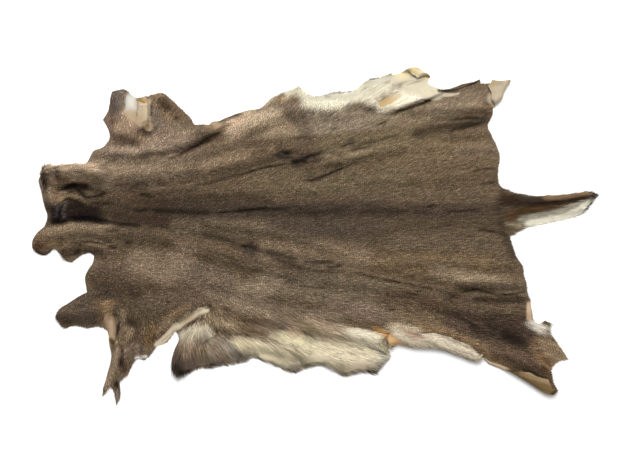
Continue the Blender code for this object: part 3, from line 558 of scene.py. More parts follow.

# The hair's colours, each row laid over those before it; the rows so marked below are painted light or
# painted shade.
COAT_TONES = traces((
    # The back, the flanks and the shoulders.
    (87, .9, "#8b7865", -608,205, -504,178, -422,218),
    # Painted light that evens out the shade of the fold across the shoulder.
    (10, .8, "#ad9881", -583,208, -507,201, -415,205),
    (46, .8, "#86745f", -611,131, -512,131, -429,154),
    (33, .7, "#7b6a55", -425,118, -330,164, -233,205),
    (32, .8, "#a59177", -233,267, -158,281, -75,281),
    (21, .8, "#bca78d", -252,281, -180,317, -118,346),
    (43, .9, "#948571", -16,295, 88,309, 192,320),
    (32, .9, "#86765f", 206,302, 342,338, 467,382),
    (26, .8, "#82715d", 374,360, 467,386, 536,401),
    (48, .8, "#76674f", 42,205, 188,232, 305,239),
    (47, .8, "#78664e", 242,171, 360,205, 504,205),
    (27, .8, "#796854", 431,198, 510,205),
    (18, .5, "#504232", 307,270, 366,277, 432,288),
    (9.3, .6, "#44382e", 445,295, 481,302, 511,306),
    (38, .7, "#70624c", -156,105, 13,92, 238,112),
    (25, .8, "#6b5b48", 124,51, 318,57, 506,67),
    (34, .8, "#4a3e31", -403,42, -278,35, -148,26),
    (33, .8, "#6e5f4d", -368,-32, -232,-32, -96,-44, 39,-53, 153,-50),
    (60, .6, "#493e34", -70,-17, 39,-20, 148,-23),
    (25, .7, "#45392f", -174,-105, -126,-123, -72,-140, -14,-151, 38,-154),
    (21, .6, "#4e4234", 229,-32, 393,-26, 514,-38),
    (26, .8, "#6e5e4b", 212,-88, 334,-73, 506,-94),
    (31, .8, "#7a664d", 170,-145, 301,-151, 433,-142),
    (34, .8, "#8a765f", -121,-108, 12,-123, 118,-131),
    (38, .8, "#7b6c58", -66,-209, 63,-220, 165,-236),
    (32, .8, "#95836d", -267,-209, -181,-225, -113,-198),
    (33, .9, "#7d6c5a", -349,-170, -288,-182, -235,-198),
    (39, .8, "#9c8770", -462,-142, -394,-165, -358,-131),
    (33, .85, "#766351", -567,-142, -520,-179, -480,-203),
    (22, .8, "#5b4b3a", -545,-217, -490,-225, -421,-220),
    (24, .7, "#766454", -422,-252, -359,-247, -309,-236),
    (24, .8, "#897664", 50,-262, 138,-276, 176,-283),
    (24, .8, "#685543", 178,-247, 267,-252, 368,-257),
    (18, .8, "#60503f", 356,-252, 470,-257, 532,-255),
    (23, .8, "#816e56", 203,-294, 288,-307, 348,-330),
    (10, .8, "#937959", 262,-314, 323,-327, 382,-355, 428,-385),
    (7.5, .75, "#c69456", 156,-325, 178,-337, 197,-355),
    (13, .8, "#e3d1b2", 196,-320, 224,-325, 255,-332),
    (23, .8, "#615040", 389,-294, 476,-304, 524,-304),
    (28, .85, "#59483e", 351,-304, 417,-320, 480,-330, 514,-335),
    (25, .6, "#483a30", 442,-314, 481,-325, 525,-332),
    # Painted light that evens out the fold's shade along the dark band low on the rump.
    (7.6, .75, "#75604f", 402,-314, 455,-335, 507,-352),
    (17, .6, "#352920", 479,-340, 501,-355, 519,-367),
    (22, .8, "#635041", 448,-380, 513,-394, 557,-419),
    (9.7, .8, "#7f664d", 404,-380, 441,-399, 473,-414),
    (18, .7, "#95826a", 315,-165, 402,-184, 477,-203, 537,-217),
    (8.1, .7, "#3b2e24", 528,86, 507,11, 510,-65, 524,-131),
    (22, .6, "#625141", -70,338, -46,295, -10,246),
    (17, .55, "#604f3f", -226,239, -186,260, -152,281),
    (27, .6, "#4e3f32", -102,191, -67,178, -27,171, -4,184),
    (15, .55, "#907b62", -314,144, -231,178, -137,211),
    (10, .5, "#8b7860", 42,178, 99,191, 158,208),
    # The spine.
    (23, .7, "#483c32", -460,14, -316,1, -97,8, 95,11, 342,8, 512,11),
    (12, .35, "#4a3d32", -84,8, 40,8, 232,14),
    # The neck.
    (34, .9, "#4d3f31", -593,17, -523,8, -426,1),
    (21, .8, "#48392d", -539,-14, -477,-26, -409,-26),
    (22, .7, "#48392b", -529,73, -482,54, -436,45),
    (19, .8, "#615040", -606,67, -551,73, -536,80),
    (33, .9, "#947f66", -707,-73, -641,-53, -568,-56),
    (26, .8, "#675744", -548,-62, -485,-67, -443,-79),
    (23, .9, "#8f755d", -744,-79, -719,-97),
    (12, .8, "#a28763", -704,-91, -681,-97),
    (8.5, .7, "#795a42", -745,-97, -730,-105),
    (19, .9, "#695942", -700,60, -666,60, -642,45),
    (28, .95, "#271d19", -706,5, -663,11, -612,-2),
    (37, .95, "#ab947c", -771,125, -755,86, -744,60),
    (17, .9, "#ad967e", -771,138, -756,105),
    (11, .6, "#8a6f5c", -773,92, -756,60, -742,35),
    (29, .97, "#c4ab8e", -726,138, -680,138, -638,125),
    (16, .8, "#b29b83", -699,148, -664,141),
    (22, .9, "#9a866e", -629,105, -594,92),
    # Painted shade: these rows darken towards the hollow under the neck's roll, down to the black arc of its
    # shadow.
    (8.4, .7, "#a7896b", -719,102, -691,105, -663,102),
    (9.5, .85, "#86694e", -732,96, -724,70, -717,48),
    (8.2, .95, "#231b15", -708,76, -696,84, -682,86),
    (9.2, .97, "#130f06", -677,89, -668,83),
    (5, .95, "#1b150f", -658,73, -646,57, -633,45),
    (9.5, .8, "#3a281d", -651,86, -637,83),
    (3.1, .6, "#89775b", -704,51, -683,57, -653,48, -627,26),
    (10, .9, "#1d1514", -712,-23, -656,-14, -600,-20, -570,-26),
    (6.6, .6, "#352a21", -570,-26, -530,-35, -481,-41),
    (11, .8, "#58473b", -744,29, -728,-8),
    (5, .6, "#886f57", -733,32, -712,39),
    (4.7, .8, "#a48e60", -708,45, -705,42),
    (2.7, .55, "#79706a", -692,35, -690,8, -688,-17),
    (2.2, .6, "#827670", -706,32, -706,5),
    (3.3, .5, "#675b61", -712,23, -709,-8),
    # The upper foreleg and brisket.
    (33, .95, "#665a4f", -607,412, -609,368, -608,338),
    (29, .9, "#786353", -619,313, -595,288, -579,260),
    (24, .8, "#9e866c", -573,284, -545,270, -514,260),
    (19, .9, "#a18872", -563,335, -541,309, -517,281),
    (17, .8, "#584434", -571,229, -546,235, -522,229),
    (27, .9, "#836d55", -480,394, -453,371, -432,338),
    (12, .9, "#7a6b5e", -483,346, -470,309, -458,281),
    (17, .8, "#957d64", -418,346, -385,317),
    (21, .8, "#8f7d67", -382,288, -345,270, -313,274),
    # Painted shade in the groove along the brisket's overlap.
    (9.9, .7, "#64503f", -390,191, -341,222, -300,256),
    (14, .8, "#cdb296", -275,281, -235,302, -201,327),
    (14, .7, "#a68b6c", -309,291, -290,284, -276,284),
    (11, .6, "#d4c1a0", -211,342, -161,368, -119,386),
    # The upper belly.
    (21, .9, "#7c6c5b", -104,371, -71,357, -37,324),
    (8.9, .6, "#a4875e", -110,386, -77,394),
    (15, .95, "#dad1b7", -84,412, -60,427, -32,401),
    (30, .95, "#e0d9c1", -14,382, 44,379, 104,390, 141,405),
    (33, .95, "#e2dbc2", 141,409, 179,427, 216,443),
    (9.3, .5, "#cac1a9", 170,450, 178,412),
    (9.7, .6, "#d3c6ae", 219,447, 233,412),
    (18, .9, "#ede4ca", 176,371, 209,357, 242,368),
    (30, .95, "#faefd7", 256,390, 300,412, 344,427),
    # Painted shade at the lower right end of the white patch.
    (11, .8, "#d1c4ac", 332,401, 367,416),
    (15, .85, "#6b5c4b", 104,357, 137,364, 172,346),
    # Painted shadow under the free edge where the belly's skin overlaps the flank.
    (5.8, .8, "#6d563e", 241,338, 277,353, 308,364),
    (3.3, .8, "#3a2b1e", 308,364, 337,379, 368,394),
    # The lower belly.
    (29, .9, "#ac9e87", -255,-372, -161,-380, -63,-385),
    (23, .75, "#8a7964", -213,-247, -136,-268, -64,-283, 49,-294),
    (7.9, .6, "#a18d76", -223,-262, -166,-268, -100,-294),
    (37, .9, "#ccbf9f", -63,-382, 36,-385, 146,-380),
    (13, .85, "#8f7961", -248,-268, -217,-278, -188,-289),
    (13, .8, "#a38f72", -271,-296, -245,-304, -204,-314),
    (13, .85, "#77644f", -190,-302, -149,-314, -106,-327),
    (6.3, .6, "#604d39", -184,-320, -143,-330),
    (13, .8, "#9d8971", -64,-314, -14,-304, 36,-314),
    (17, .95, "#eadcb8", -192,-360, -149,-372, -107,-385, -67,-394),
    (9.7, .75, "#d6c8a4", -126,-392, -87,-399, -48,-399),
    (15, .8, "#f4e4c0", -152,-370, -132,-370, -112,-385),
    (12, .5, "#d2c1a0", -50,-394, -31,-392),
    (15, .95, "#d9ceab", -88,-342, -43,-352, 6,-367, 41,-380),
    (22, .95, "#d9ccaf", 6,-380, 72,-385, 138,-394),
    (12, .9, "#c5b598", 45,-419, 84,-426, 118,-421),
    (11, .95, "#fdf2d6", 86,-332, 116,-335, 150,-345),
    (6.2, .8, "#d5cbb5", 105,-352, 144,-367, 175,-387),
    (2.9, .8, "#67573f", 137,-367, 158,-380, 178,-389),
    (12, .8, "#d1ccbb", 157,-414, 177,-397),
    (13, .8, "#b3a086", 16,-330, 46,-335, 71,-325),
    (8.9, .7, "#7c6d52", -41,-307, -14,-320, 16,-335),
    (7.6, .6, "#c9ae8d", -71,-335, -39,-337),
    (20, .9, "#8b7a67", -259,-355, -236,-365, -234,-389),
    (12, .85, "#9c9184", -221,-362, -198,-377, -190,-392),
    (7.3, .85, "#5a4f44", -190,-392, -165,-394, -146,-389),
    (5.8, .8, "#796c5d", -286,-411, -232,-411, -172,-402),
    (7.2, .7, "#776d5f", -111,-409, -74,-419, -38,-416),
    (5.4, .7, "#8c816b", -68,-365, -48,-385, -30,-404),
    (5.8, .8, "#776b58", -33,-414, 1,-414, 26,-409),
    (4.8, .8, "#7a7062", 35,-428, 71,-440, 112,-433, 137,-433, 177,-399),
    (3.8, .9, "#4a3d2e", 122,-426, 137,-428),
    (18, .95, "#d4c7ae", -323,-335, -294,-325, -272,-337),
    (12, .8, "#ac957b", -320,-357, -291,-357),
    (7.7, .85, "#987c61", -325,-309, -299,-291),
    (20, .9, "#84705b", -323,-382, -294,-380, -280,-370),
    (15, .9, "#655449", -341,-397, -316,-404, -295,-414),
    (12, .95, "#1d1713", -342,-414, -328,-430, -316,-433),
    (6.4, .8, "#76644d", -278,-360, -278,-385, -272,-404),
    (3, .9, "#53412c", -340,-330, -322,-314, -296,-294),
    # The lower shoulder, brisket and foreleg.
    (10, .7, "#8a7256", -377,-296, -353,-283, -324,-265),
    (8.7, .9, "#cfbb99", -339,-314, -317,-291, -278,-273),
    (13, .8, "#9e876d", -397,-340, -383,-325, -370,-309),
    (12, .8, "#806344", -417,-360, -409,-340, -406,-325),
    (12, .8, "#8f7a68", -466,-377, -448,-367, -432,-375),
    (13, .6, "#3c2d22", -472,-302, -455,-312, -446,-325),
    (7.6, .7, "#978467", -490,-276, -483,-294),
    (15, .8, "#8d785e", -475,-350, -470,-330),
    (7.3, .9, "#49352c", -478,-382, -474,-406, -462,-426),
    (11, .85, "#8e7b65", -488,-375, -495,-428, -501,-471),
    (4.8, .9, "#35281b", -480,-452, -475,-466),
    (4.7, .8, "#8a8072", -473,-480, -471,-496),
    (42, .95, "#5b4d40", -619,-265, -585,-268, -554,-257),
    (13, .9, "#514436", -642,-291, -619,-304),
    (11, .6, "#685745", -644,-268, -617,-249),
    (15, .8, "#675540", -558,-247, -543,-278),
    (10, .85, "#8b7154", -536,-260, -520,-281),
    (11, .6, "#937557", -534,-291, -526,-273, -521,-255),
    # The lower hind leg.
    (13, .95, "#e6ddcd", 548,-312, 562,-320, 573,-325),
    (7.5, .6, "#998c7c", 577,-332, 586,-340),
    (4.1, .6, "#756858", 561,-325, 577,-317),
    (5, .8, "#604c39", 568,-342, 584,-347),
    (22, .95, "#9d866b", 556,-367, 582,-375, 606,-389),
    (7.5, .7, "#7b6550", 573,-342, 586,-350),
    (12, .85, "#8f7150", 546,-385, 560,-402, 575,-416),
    (6.4, .8, "#7f6046", 542,-350, 545,-375, 556,-399),
    (9.6, .9, "#5c4631", 554,-426, 567,-445),
    # The tail.
    (22, .95, "#2f2115", 533,39, 592,32, 648,32),
    (9.4, .9, "#26190f", 608,26, 676,35, 733,45, 770,51),
    (17, .95, "#503a22", 537,-5, 587,-2, 630,8),
    (18, .97, "#f1ead4", 583,-26, 620,-20, 674,-8, 726,11, 762,23),
    (6.1, .6, "#b2ad9d", 669,-2, 711,1, 743,11),
    (11, .75, "#937351", 637,51, 694,57, 751,67),
    (3.8, .8, "#efe6d3", 576,67, 653,64, 739,73),
    (7.1, .8, "#b6a686", 528,-32, 551,-38),
))

# The bare skin's colours, each row laid over those before it; the rows so marked below are painted shade or a
# painted highlight.
SKIN_TONES = traces((
    (27, .95, "#e6e3d8", -553,394, -547,353),
    (9, .8, "#f6f0e4", -551,382, -544,353),
    (24, .95, "#dac4a4", -517,375, -509,309),
    (7.4, .9, "#c99f63", -533,382, -515,379),
    (24, .9, "#cbb08f", -555,324, -535,309, -512,291),
    (12, .95, "#a58c6c", -504,291, -491,284),
    (18, .9, "#b3997a", -303,291, -285,295),
    (6.9, .8, "#8e5f34", -305,277, -284,270),
    (16, .97, "#dcb980", 197,368, 225,382, 250,401),
    (53, .95, "#e9dec0", 253,443, 304,435, 361,412),
    (20, .97, "#fde9b8", 265,481, 309,493, 347,474),
    (6.1, .8, "#a4724e", 347,470, 360,474),
    (27, .95, "#ccbb9f", 540,390, 562,420, 581,443),
    (9.9, .7, "#b29a76", 541,443, 567,450),
    (12, .95, "#d8c4a8", 387,397, 414,399, 449,412),
    # Painted shade: a dark strip along the upper hind's rolled edge.
    (8.3, .95, "#33261b", 379,416, 425,416, 463,431, 506,454),
    (33, .95, "#dccdb4", 198,-330, 284,-350, 402,-394),
    (10, .9, "#c9ab92", 224,-325, 260,-340),
    (4, .6, "#a19482", 255,-335, 284,-352, 307,-370),
    (10, .95, "#e6b576", 159,-322, 180,-340, 201,-360),
    (3.5, .6, "#c5a47a", 185,-337, 209,-355, 233,-370),
    (12, .8, "#e6d8bf", 285,-342, 332,-360, 392,-382),
    # Painted shadow along the lower flank's rolled rim.
    (2.7, .8, "#5a5045", 306,-375, 353,-394, 394,-406),
    (9.6, .9, "#d9bd9d", 417,-397, 449,-414, 476,-423),
    (15, .95, "#7b613b", 480,-433, 527,-454, 577,-473),
    (2.4, .5, "#b3956a", 494,-434, 531,-446, 565,-457),
    # Painted shade along the lower rim and the end of the hind leg's roll.
    (2.8, .9, "#5f4a2c", 454,-428, 502,-461, 549,-484),
    (3.3, .8, "#4c3a26", 564,-480, 578,-468),
    (10, .95, "#d9c29f", -346,-320, -326,-302, -305,-283),
    (10, .95, "#f8e8c8", -305,-281, -290,-276, -273,-272),
    (7.7, .9, "#cfb691", -364,-317, -331,-296, -312,-281),
    (12, .95, "#b39475", -519,-289, -505,-330),
    (4, .6, "#d2b89a", -514,-304, -507,-335),
    (5.9, .9, "#6b4d2e", -507,-350, -497,-365),
    (15, .95, "#e8d5b6", -390,-357, -367,-335, -350,-307),
    # A painted highlight on the brisket's bare skin.
    (7.3, .95, "#f0e8da", -437,-394, -415,-392),
    (10, .95, "#dcbd9c", 544,-257, 537,-299),
))

# The skin: its thickness, and the points of its mesh.
HIDE = 0.002
RIM_STEP = 0.004
GRID_STEP = 0.008
FINE_STEP = 0.0026
CLEAR_OF_RIM = 0.0025

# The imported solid's own measures, which the skin and the tips of its hair follow.
COAT = 0.009
RIM_THICKNESS = 0.003
RIM_FALL = 0.032
THINNEST = 0.0025
LUMP_HEIGHT = 0.0016
LUMPS_LENGTHWISE = 9.0
LUMPS_ACROSS = 24.0
FLOOR_HOLD = 0.003
STEP_FADE = 0.8
CURL_RADIUS = 0.0085
CURL_TURN = math.radians(178)
CURL_SETTLED = 0.016
CURL_GAP = 0.0012
LEAST_TURN = math.radians(14)
SLIT_TURN = math.radians(85)

# What lies under the tables' colours, how strongly they are laid on, and how steeply a crease's painted shade
# darkens them.
COAT_GROUND = "#6b5a46"
FUR_GAIN = 1.13
FUR_STEEP = 2.1
BARE_STEEP = 1.0
EDGE_GROUND = "#cdb38c"
EDGE_GAIN = 0.9
LEATHER_GAIN = 0.56
PALEST = 0.9
LUMA = np.array((0.3, 0.6, 0.1))
PALE_FROM = 0.12
PALE_OVER = 0.45
TINGE = 0.045 * np.array((1.0, -0.6, 0.4))
# The deepest painted shade of a crease, the brightest painted light of a ridge, how far creases and strokes
# reach, and how much a ridge's painted light brightens.
DARKEST_CREASE = 1.1
PALEST_RIDGE = -0.8
CREASE_REACH = 3.0
STROKE_REACH = 1.6
RIDGE_LIGHT = 0.5

# How quickly a crease grows from its ends, what is left of it there, and its width there.
CREASE_TAPER = 4.0
CREASE_BLUNT = 0.15
CREASE_END_WIDTH = 0.55
CREASE_WIDENS = 0.45

# How far the borders of colours, creases and bare skin waver, in metres.
COAT_WANDER = 0.005
EDGE_WANDER = 0.004
LEATHER_WANDER = 0.0015
BARE_WANDER = 0.0016
CREASE_WANDER = 0.0022

# The noise that makes the borders of creases, colours and bare skin waver, along the back and across it.
CREASE_STRAY = ((Ripple(1.0, 34.0, 70.0, 21.0),), (Ripple(1.0, 38.0, 80.0, 22.0),))
TONE_STRAY = (
    (Ripple(1.0, 17.0, 45.0, 3.0), Ripple(0.5, 60.0, 130.0, 4.0)),
    (Ripple(1.0, 21.0, 60.0, 8.0), Ripple(0.5, 70.0, 150.0, 9.0)),
)
BARE_STRAY = ((Ripple(1.0, 150.0, 150.0, 31.0),), (Ripple(1.0, 150.0, 150.0, 32.0),))

# The noise of the cut rim, of the turned edges' widths, of the hair's streaks and of its crimp.
RIM_RIPPLES = (Ripple(1.0, 95.0, 95.0, 5.0),)
FLAP_RIPPLES = (Ripple(0.22, 26.0, 26.0, 6.0), Ripple(0.10, 90.0, 90.0, 7.0))
ROOT_STREAKS = (Ripple(0.28, 24.0, 75.0, 11.0),)
TIP_STREAKS = (Ripple(0.55, 110.0, 190.0, 12.0), Ripple(1.05, 230.0, 330.0, 13.0))
CRIMP_RIPPLES = (Ripple(1.6, 70.0, 190.0, 14.0),)
CRIMP_WAVE = 0.0058

# How blades vary: their clumps to the metre, their length and width in shares of the kind's own, and
# the way each is flung along and across the back and up.
CLUMPS = 70.0
BLADE_LENGTHS = (0.72, 1.15)
BLADE_WIDTHS = (0.75, 1.25)
BLADE_FLINGS = ((-1.0, -1.0, -0.6), (1.0, 1.0, 0.8))

# A hair in its cell of the map, in shares of the cell: half its width, its foot, its height, its back.
MAP_NAME = "OFBake"
CELL_HALF = 0.36
CELL_FOOT = 0.08
CELL_HEIGHT = 0.8
CELL_BACK = 0.12

CAMERA_PLACE = (-0.0095, -0.66403, 1.350)

Places = np.ndarray
Numbers = np.ndarray


def smooth(share: Numbers) -> Numbers:
    """The soft rise from 0 to 1 as share does."""
    share = np.clip(share, 0.0, 1.0)
    return share * share * (3.0 - 2.0 * share)


def on_line(places: Places, row: Any) -> tuple[Numbers, Numbers, float]:
    """Measures places against a row's bowed line.

    Args:
        places: rows of x and y.
        row: a row of a table, with x0, y0, x1, y1 and bow.

    Returns:
        How far along the line each place lies, from 0 to 1, how far to its left, and its length.
    """
    start = np.array((row.x0, row.y0))
    run = np.array((row.x1, row.y1)) - start
    length = math.hypot(*run)
    share = (places - start) @ run / length**2
    within = np.clip(share, 0.0, 1.0)
    left = (places - start) @ np.array((-run[1], run[0])) / length
    return share, left - row.bow * 4.0 * within * (1.0 - within), length


def soft_line(places: Places, row: Any) -> Numbers:
    """A soft band round a row's line.

    Args:
        places: rows of x and y.
        row: a row of a table, with x0, y0, x1, y1, width and bow.

    Returns:
        1 for a place on the line, fading over the row's width.
    """
    share, left, length = on_line(places, row)
    past = (share - np.clip(share, 0.0, 1.0)) * length
    return np.exp(-(left**2 + past**2) / row.width**2)


def overlap(places: Places, row: Step) -> Numbers:
    """How much an overlap raises each place.

    Args:
        places: rows of x and y.
        row: the overlap.

    Returns:
        All of its rise on its left, none on its right.
    """
    share, left, length = on_line(places, row)
    ends = smooth(np.minimum(share, 1.0 - share) * length / row.back + STEP_FADE)
    return row.rise * ends * smooth(left / row.width + 0.5) * np.exp(-((left / row.back) ** 2) * (left > 0))


def underside(places: Places) -> Numbers:
    """Height of the flesh side over the floor.

    Args:
        places: rows of x and y.

    Returns:
        One height for each place.
    """
    lift = sum(row.value * soft_line(places, row) for row in FOLDS)
    lift = lift + sum(overlap(places, row) for row in STEPS)
    return np.maximum(lift - FLOOR_HOLD, 0.0)


def waves(places: Places, lengthwise: float, across: float, layer: float = 0.0) -> Numbers:
    """Soft noise from about -0.7 to 0.7.

    Args:
        places: rows of x and y.
        lengthwise: waves to the metre along the back.
        across: waves to the metre across it.
        layer: tells one noise from another.

    Returns:
        One number for each place.
    """
    spots = places * (lengthwise, across)
    cells = np.floor(spots).astype(int)
    part = spots - cells
    ease = part**3 * (part * (part * 6.0 - 15.0) + 10.0)
    made = np.zeros(len(places))
    for dx, dy in ((0, 0), (1, 0), (0, 1), (1, 1)):
        column = SHUFFLED[(cells[:, 0] + dx + SHUFFLED[int(7 * layer) % 256]) % 256]
        turn = SHUFFLED[(cells[:, 1] + dy + column) % 256] * (math.tau / 256)
        weight = np.abs(1 - dx - ease[:, 0]) * np.abs(1 - dy - ease[:, 1])
        made += weight * (np.cos(turn) * (part[:, 0] - dx) + np.sin(turn) * (part[:, 1] - dy))
    return made


def rippled(places: Places, ripples: Sequence[Ripple], base: Any = 0.0) -> Numbers:
    """The sum of several soft noises, added to base."""
    return sum((row.strength * waves(places, *row[1:]) for row in ripples), base)


def strayed(places: Places, wander: float, stray: Sequence[Sequence[Ripple]]) -> Places:
    """Places moved by noise of wander's size, along the back and across it."""
    return places + wander * np.stack([rippled(places, ripples) for ripples in stray], axis=1)


def lumps(places: Places) -> Numbers:
    """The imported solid's own lumps, from -1 to 1."""
    return np.array([noise.noise(Vector((x * LUMPS_LENGTHWISE, y * LUMPS_ACROSS, 0.0))) for x, y in places])


def coat_depth(places: Places, from_rim: Numbers) -> Numbers:
    """Thickness of hide and coat.

    Args:
        places: rows of x and y.
        from_rim: each place's distance to the rim.

    Returns:
        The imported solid's thickness at each place.
    """
    deep = COAT + sum(row.value * soft_line(places, row) for row in DEEPER)
    deep = deep + LUMP_HEIGHT * lumps(places)
    deep = deep - sum(row.value * soft_line(places, row) for row in CREASES)
    thick = RIM_THICKNESS + (deep - RIM_THICKNESS) * smooth(from_rim / RIM_FALL)
    return np.maximum(thick, THINNEST)


def to_way(places: Places, row: Trace, reach: float) -> tuple[Numbers, Numbers, Numbers]:
    """Measures places against the smooth curve through a stroke's places.

    Args:
        places: rows of x and y.
        row: the stroke.
        reach: how far away from it a place still counts, in its widths.

    Returns:
        Which places count, their distance in widths, and how far along they lie, from 0 to 1.
    """
    turns = [*row.way[:1], *row.way, *row.way[-1:]]
    turns = np.hstack([turns, np.zeros((len(turns), 3))])
    way = [bend(*turns[i : i + 4], k / 4) for i in range(len(turns) - 3) for k in range(4)]
    way = np.array([*way, turns[-1]])[:, :2]
    reach = reach * row.width
    low, high = way.min(axis=0) - reach, way.max(axis=0) + reach
    x, y = places[:, 0], places[:, 1]
    near = (x > low[0]) & (x < high[0]) & (y > low[1]) & (y < high[1])
    spots = places[near]
    away = np.full(len(spots), np.inf)
    along = np.zeros(len(spots))
    for i, (start, run) in enumerate(zip(way, way[1:] - way[:-1])):
        share = np.clip((spots - start) @ run / (run @ run), 0.0, 1.0)
        found = np.hypot(*(spots - start - share[:, None] * run).T)
        along = np.where(found < away, (i + share) / (len(way) - 1), along)
        away = np.minimum(away, found)
    return near, away / row.width, along


def on_stroke(places: Places, row: Trace) -> Numbers:
    """How much of a stroke each place has.

    Args:
        places: rows of x and y.
        row: the stroke.

    Returns:
        1 within the stroke, half at its width, and 0 past it.
    """
    near, away, _ = to_way(places, row, STROKE_REACH)
    made = np.zeros(len(places))
    made[near] = smooth(1.5 - away)
    return made


def along_crease(places: Places, row: Trace) -> Numbers:
    """How much of a crease each place has.

    Args:
        places: rows of x and y.
        row: the crease.

    Returns:
        Numbers from 0 to 1, smaller towards the crease's ends.
    """
    near, away, along = to_way(places, row, CREASE_REACH)
    strength = smooth(CREASE_TAPER * np.minimum(along, 1.0 - along) + CREASE_BLUNT)
    width = CREASE_END_WIDTH + CREASE_WIDENS * strength
    made = np.zeros(len(places))
    made[near] = strength * np.exp(-((away / width) ** 2))
    return made


def mixed(ends: Sequence[Numbers], level: Numbers) -> Numbers:
    """What blades have at each point, from what they have at the tips and at the roots."""
    return ends[1][:, None] * (1.0 - level) + ends[0][:, None] * level


def crease_shade(dark: Numbers, steep: Any) -> Numbers:
    """What a place's colour is multiplied by: painted shade in a crease that dark, or painted light on a
    ridge.
    """
    return np.where(dark > 0.0, np.exp(-steep * dark), 1.0 - RIDGE_LIGHT * dark)


def creased(places: Places) -> tuple[Numbers, Numbers]:
    """Measures the fine creases and ridges.

    Args:
        places: rows of x and y.

    Returns:
        How much painted shade each place gets from them, below 0 for painted light on a ridge, and how deep
        they lie in metres.
    """
    spots = strayed(places, CREASE_WANDER, CREASE_STRAY)
    shares = [along_crease(spots, row) * row.value for row in FINE]
    deep = sum(share * row.width for share, row in zip(shares, FINE))
    return np.clip(sum(shares), PALEST_RIDGE, DARKEST_CREASE), deep


class Line(NamedTuple):
    """The skin's rim as it is cut: a row of every array for each of its points."""

    places: Places
    outward: Places
    flaps: Numbers
    locks: Numbers


def bend(before: Numbers, start: Numbers, end: Numbers, after: Numbers, share: float) -> Numbers:
    """A point on the smooth curve between two rows of the outline.

    Args:
        before: the row before start.
        start: the row that the curve leaves.
        end: the row that it reaches.
        after: the row after end.
        share: how far along the curve, from 0 to 1.

    Returns:
        The row there, with the other numbers of both rows mixed.
    """
    lead = 0.5 * (end - before) * (not start[2])
    trail = 0.5 * (after - start) * (not end[2])
    one, two = share * share, share * share * share
    made = (
        (2 * two - 3 * one + 1) * start + (two - 2 * one + share) * lead
        + (3 * one - 2 * two) * end + (two - one) * trail
    )
    made[3:] = start[3:] + (end[3:] - start[3:]) * share
    return made


def rim_rows(step: float) -> Numbers:
    """Draws the outline through its rows.

    Args:
        step: about how far apart its points are.

    Returns:
        The rows at that step, corners kept.
    """
    given = np.array(OUTLINE, float)
    count = len(given)
    made = []
    for i in range(count):
        before, start, end, after = (given[(i + k) % count] for k in (-1, 0, 1, 2))
        parts = max(1, round(math.dist(start[:2], end[:2]) / step))
        made += [bend(before, start, end, after, k / parts) for k in range(parts)]
    return np.array(made)


def turn_of(flap: Numbers) -> Numbers:
    """How far an edge turns: all the way once its flap is long enough to lie down."""
    return CURL_TURN * np.minimum(1.0, flap / CURL_SETTLED)


def to_line(places: Places, line: Places) -> tuple[Numbers, Numbers]:
    """Measures places against a closed line.

    Args:
        places: rows of x and y.
        line: the line's points, in order.

    Returns:
        Each place's distance to the line, and which of its stretches is nearest.
    """
    nearest = np.full(len(places), np.inf)
    stretch = np.zeros(len(places), int)
    run = np.roll(line, -1, axis=0) - line
    for i, (start, way) in enumerate(zip(line, run)):
        share = np.clip((places - start) @ way / (way @ way), 0.0, 1.0)
        away = np.hypot(*(places - start - share[:, None] * way).T)
        stretch[away < nearest] = i
        nearest = np.minimum(nearest, away)
    return nearest, stretch


def without_loops(places: Places, widest: int = 12) -> list[int]:
    """Finds the small loops that a line makes where it was drawn in at a corner.

    Args:
        places: the closed line's points.
        widest: the most points that such a loop has.

    Returns:
        Which points are left without them.
    """
    kept = list(range(len(places)))
    i = 0
    while i < len(kept):
        count = len(kept)
        for span in range(2, widest):
            a, b, c, d = (places[kept[(i + k) % count]] for k in (0, 1, span, span + 1))
            sides = [np.cross(q - p, r - p) for p, q, r in ((a, b, c), (a, b, d), (c, d, a), (c, d, b))]
            if sides[0] * sides[1] < 0 and sides[2] * sides[3] < 0:
                gone = {(i + k) % count for k in range(1, span + 1)}
                kept = [point for k, point in enumerate(kept) if k not in gone]
                i = max(i - widest, 0) - 1
                break
        i += 1
    return kept


def inside(places: Places, line: Places) -> Numbers:
    """Tests places against a closed line.

    Args:
        places: rows of x and y.
        line: the line's points, in order.

    Returns:
        Whether each place lies within it.
    """
    found = np.zeros(len(places), bool)
    for (x0, y0), (x1, y1) in zip(line, np.roll(line, -1, axis=0)):
        if y0 == y1:
            continue
        spans = (places[:, 1] < y0) != (places[:, 1] < y1)
        found ^= spans & (places[:, 0] < x0 + (x1 - x0) * (places[:, 1] - y0) / (y1 - y0))
    return found


def linear(code: str) -> Numbers:
    """A colour written as #rrggbb, as the shader's own numbers."""
    share = np.array([int(code[i : i + 2], 16) / 255 for i in (1, 3, 5)])
    return np.where(share <= 0.04045, share / 12.92, ((share + 0.055) / 1.055) ** 2.4)


def toned(places: Places, ground: str, tones: Sequence[Trace], wander: float) -> Numbers:
    """Colours places by a table.

    Args:
        places: rows of x and y.
        ground: the colour under every row.
        tones: the table, each row laid over those before it.
        wander: how far the rows' borders stray, in metres.

    Returns:
        Red, green and blue for each place.
    """
    spots = strayed(places, wander, TONE_STRAY)
    colours = np.tile(linear(ground), (len(places), 1))
    for row in tones:
        share = on_stroke(spots, row)[:, None] * row.value
        colours += (linear(row.colour) - colours) * share
    return colours


def named_object(name: str, mesh: bpy.types.Mesh) -> bpy.types.Object:
    """Puts a mesh into the scene.

    Args:
        name: its object's name.
        mesh: the mesh.

    Returns:
        The object that holds it.
    """
    made = bpy.data.objects.new(name, mesh)
    bpy.context.scene.collection.objects.link(made)
    return made


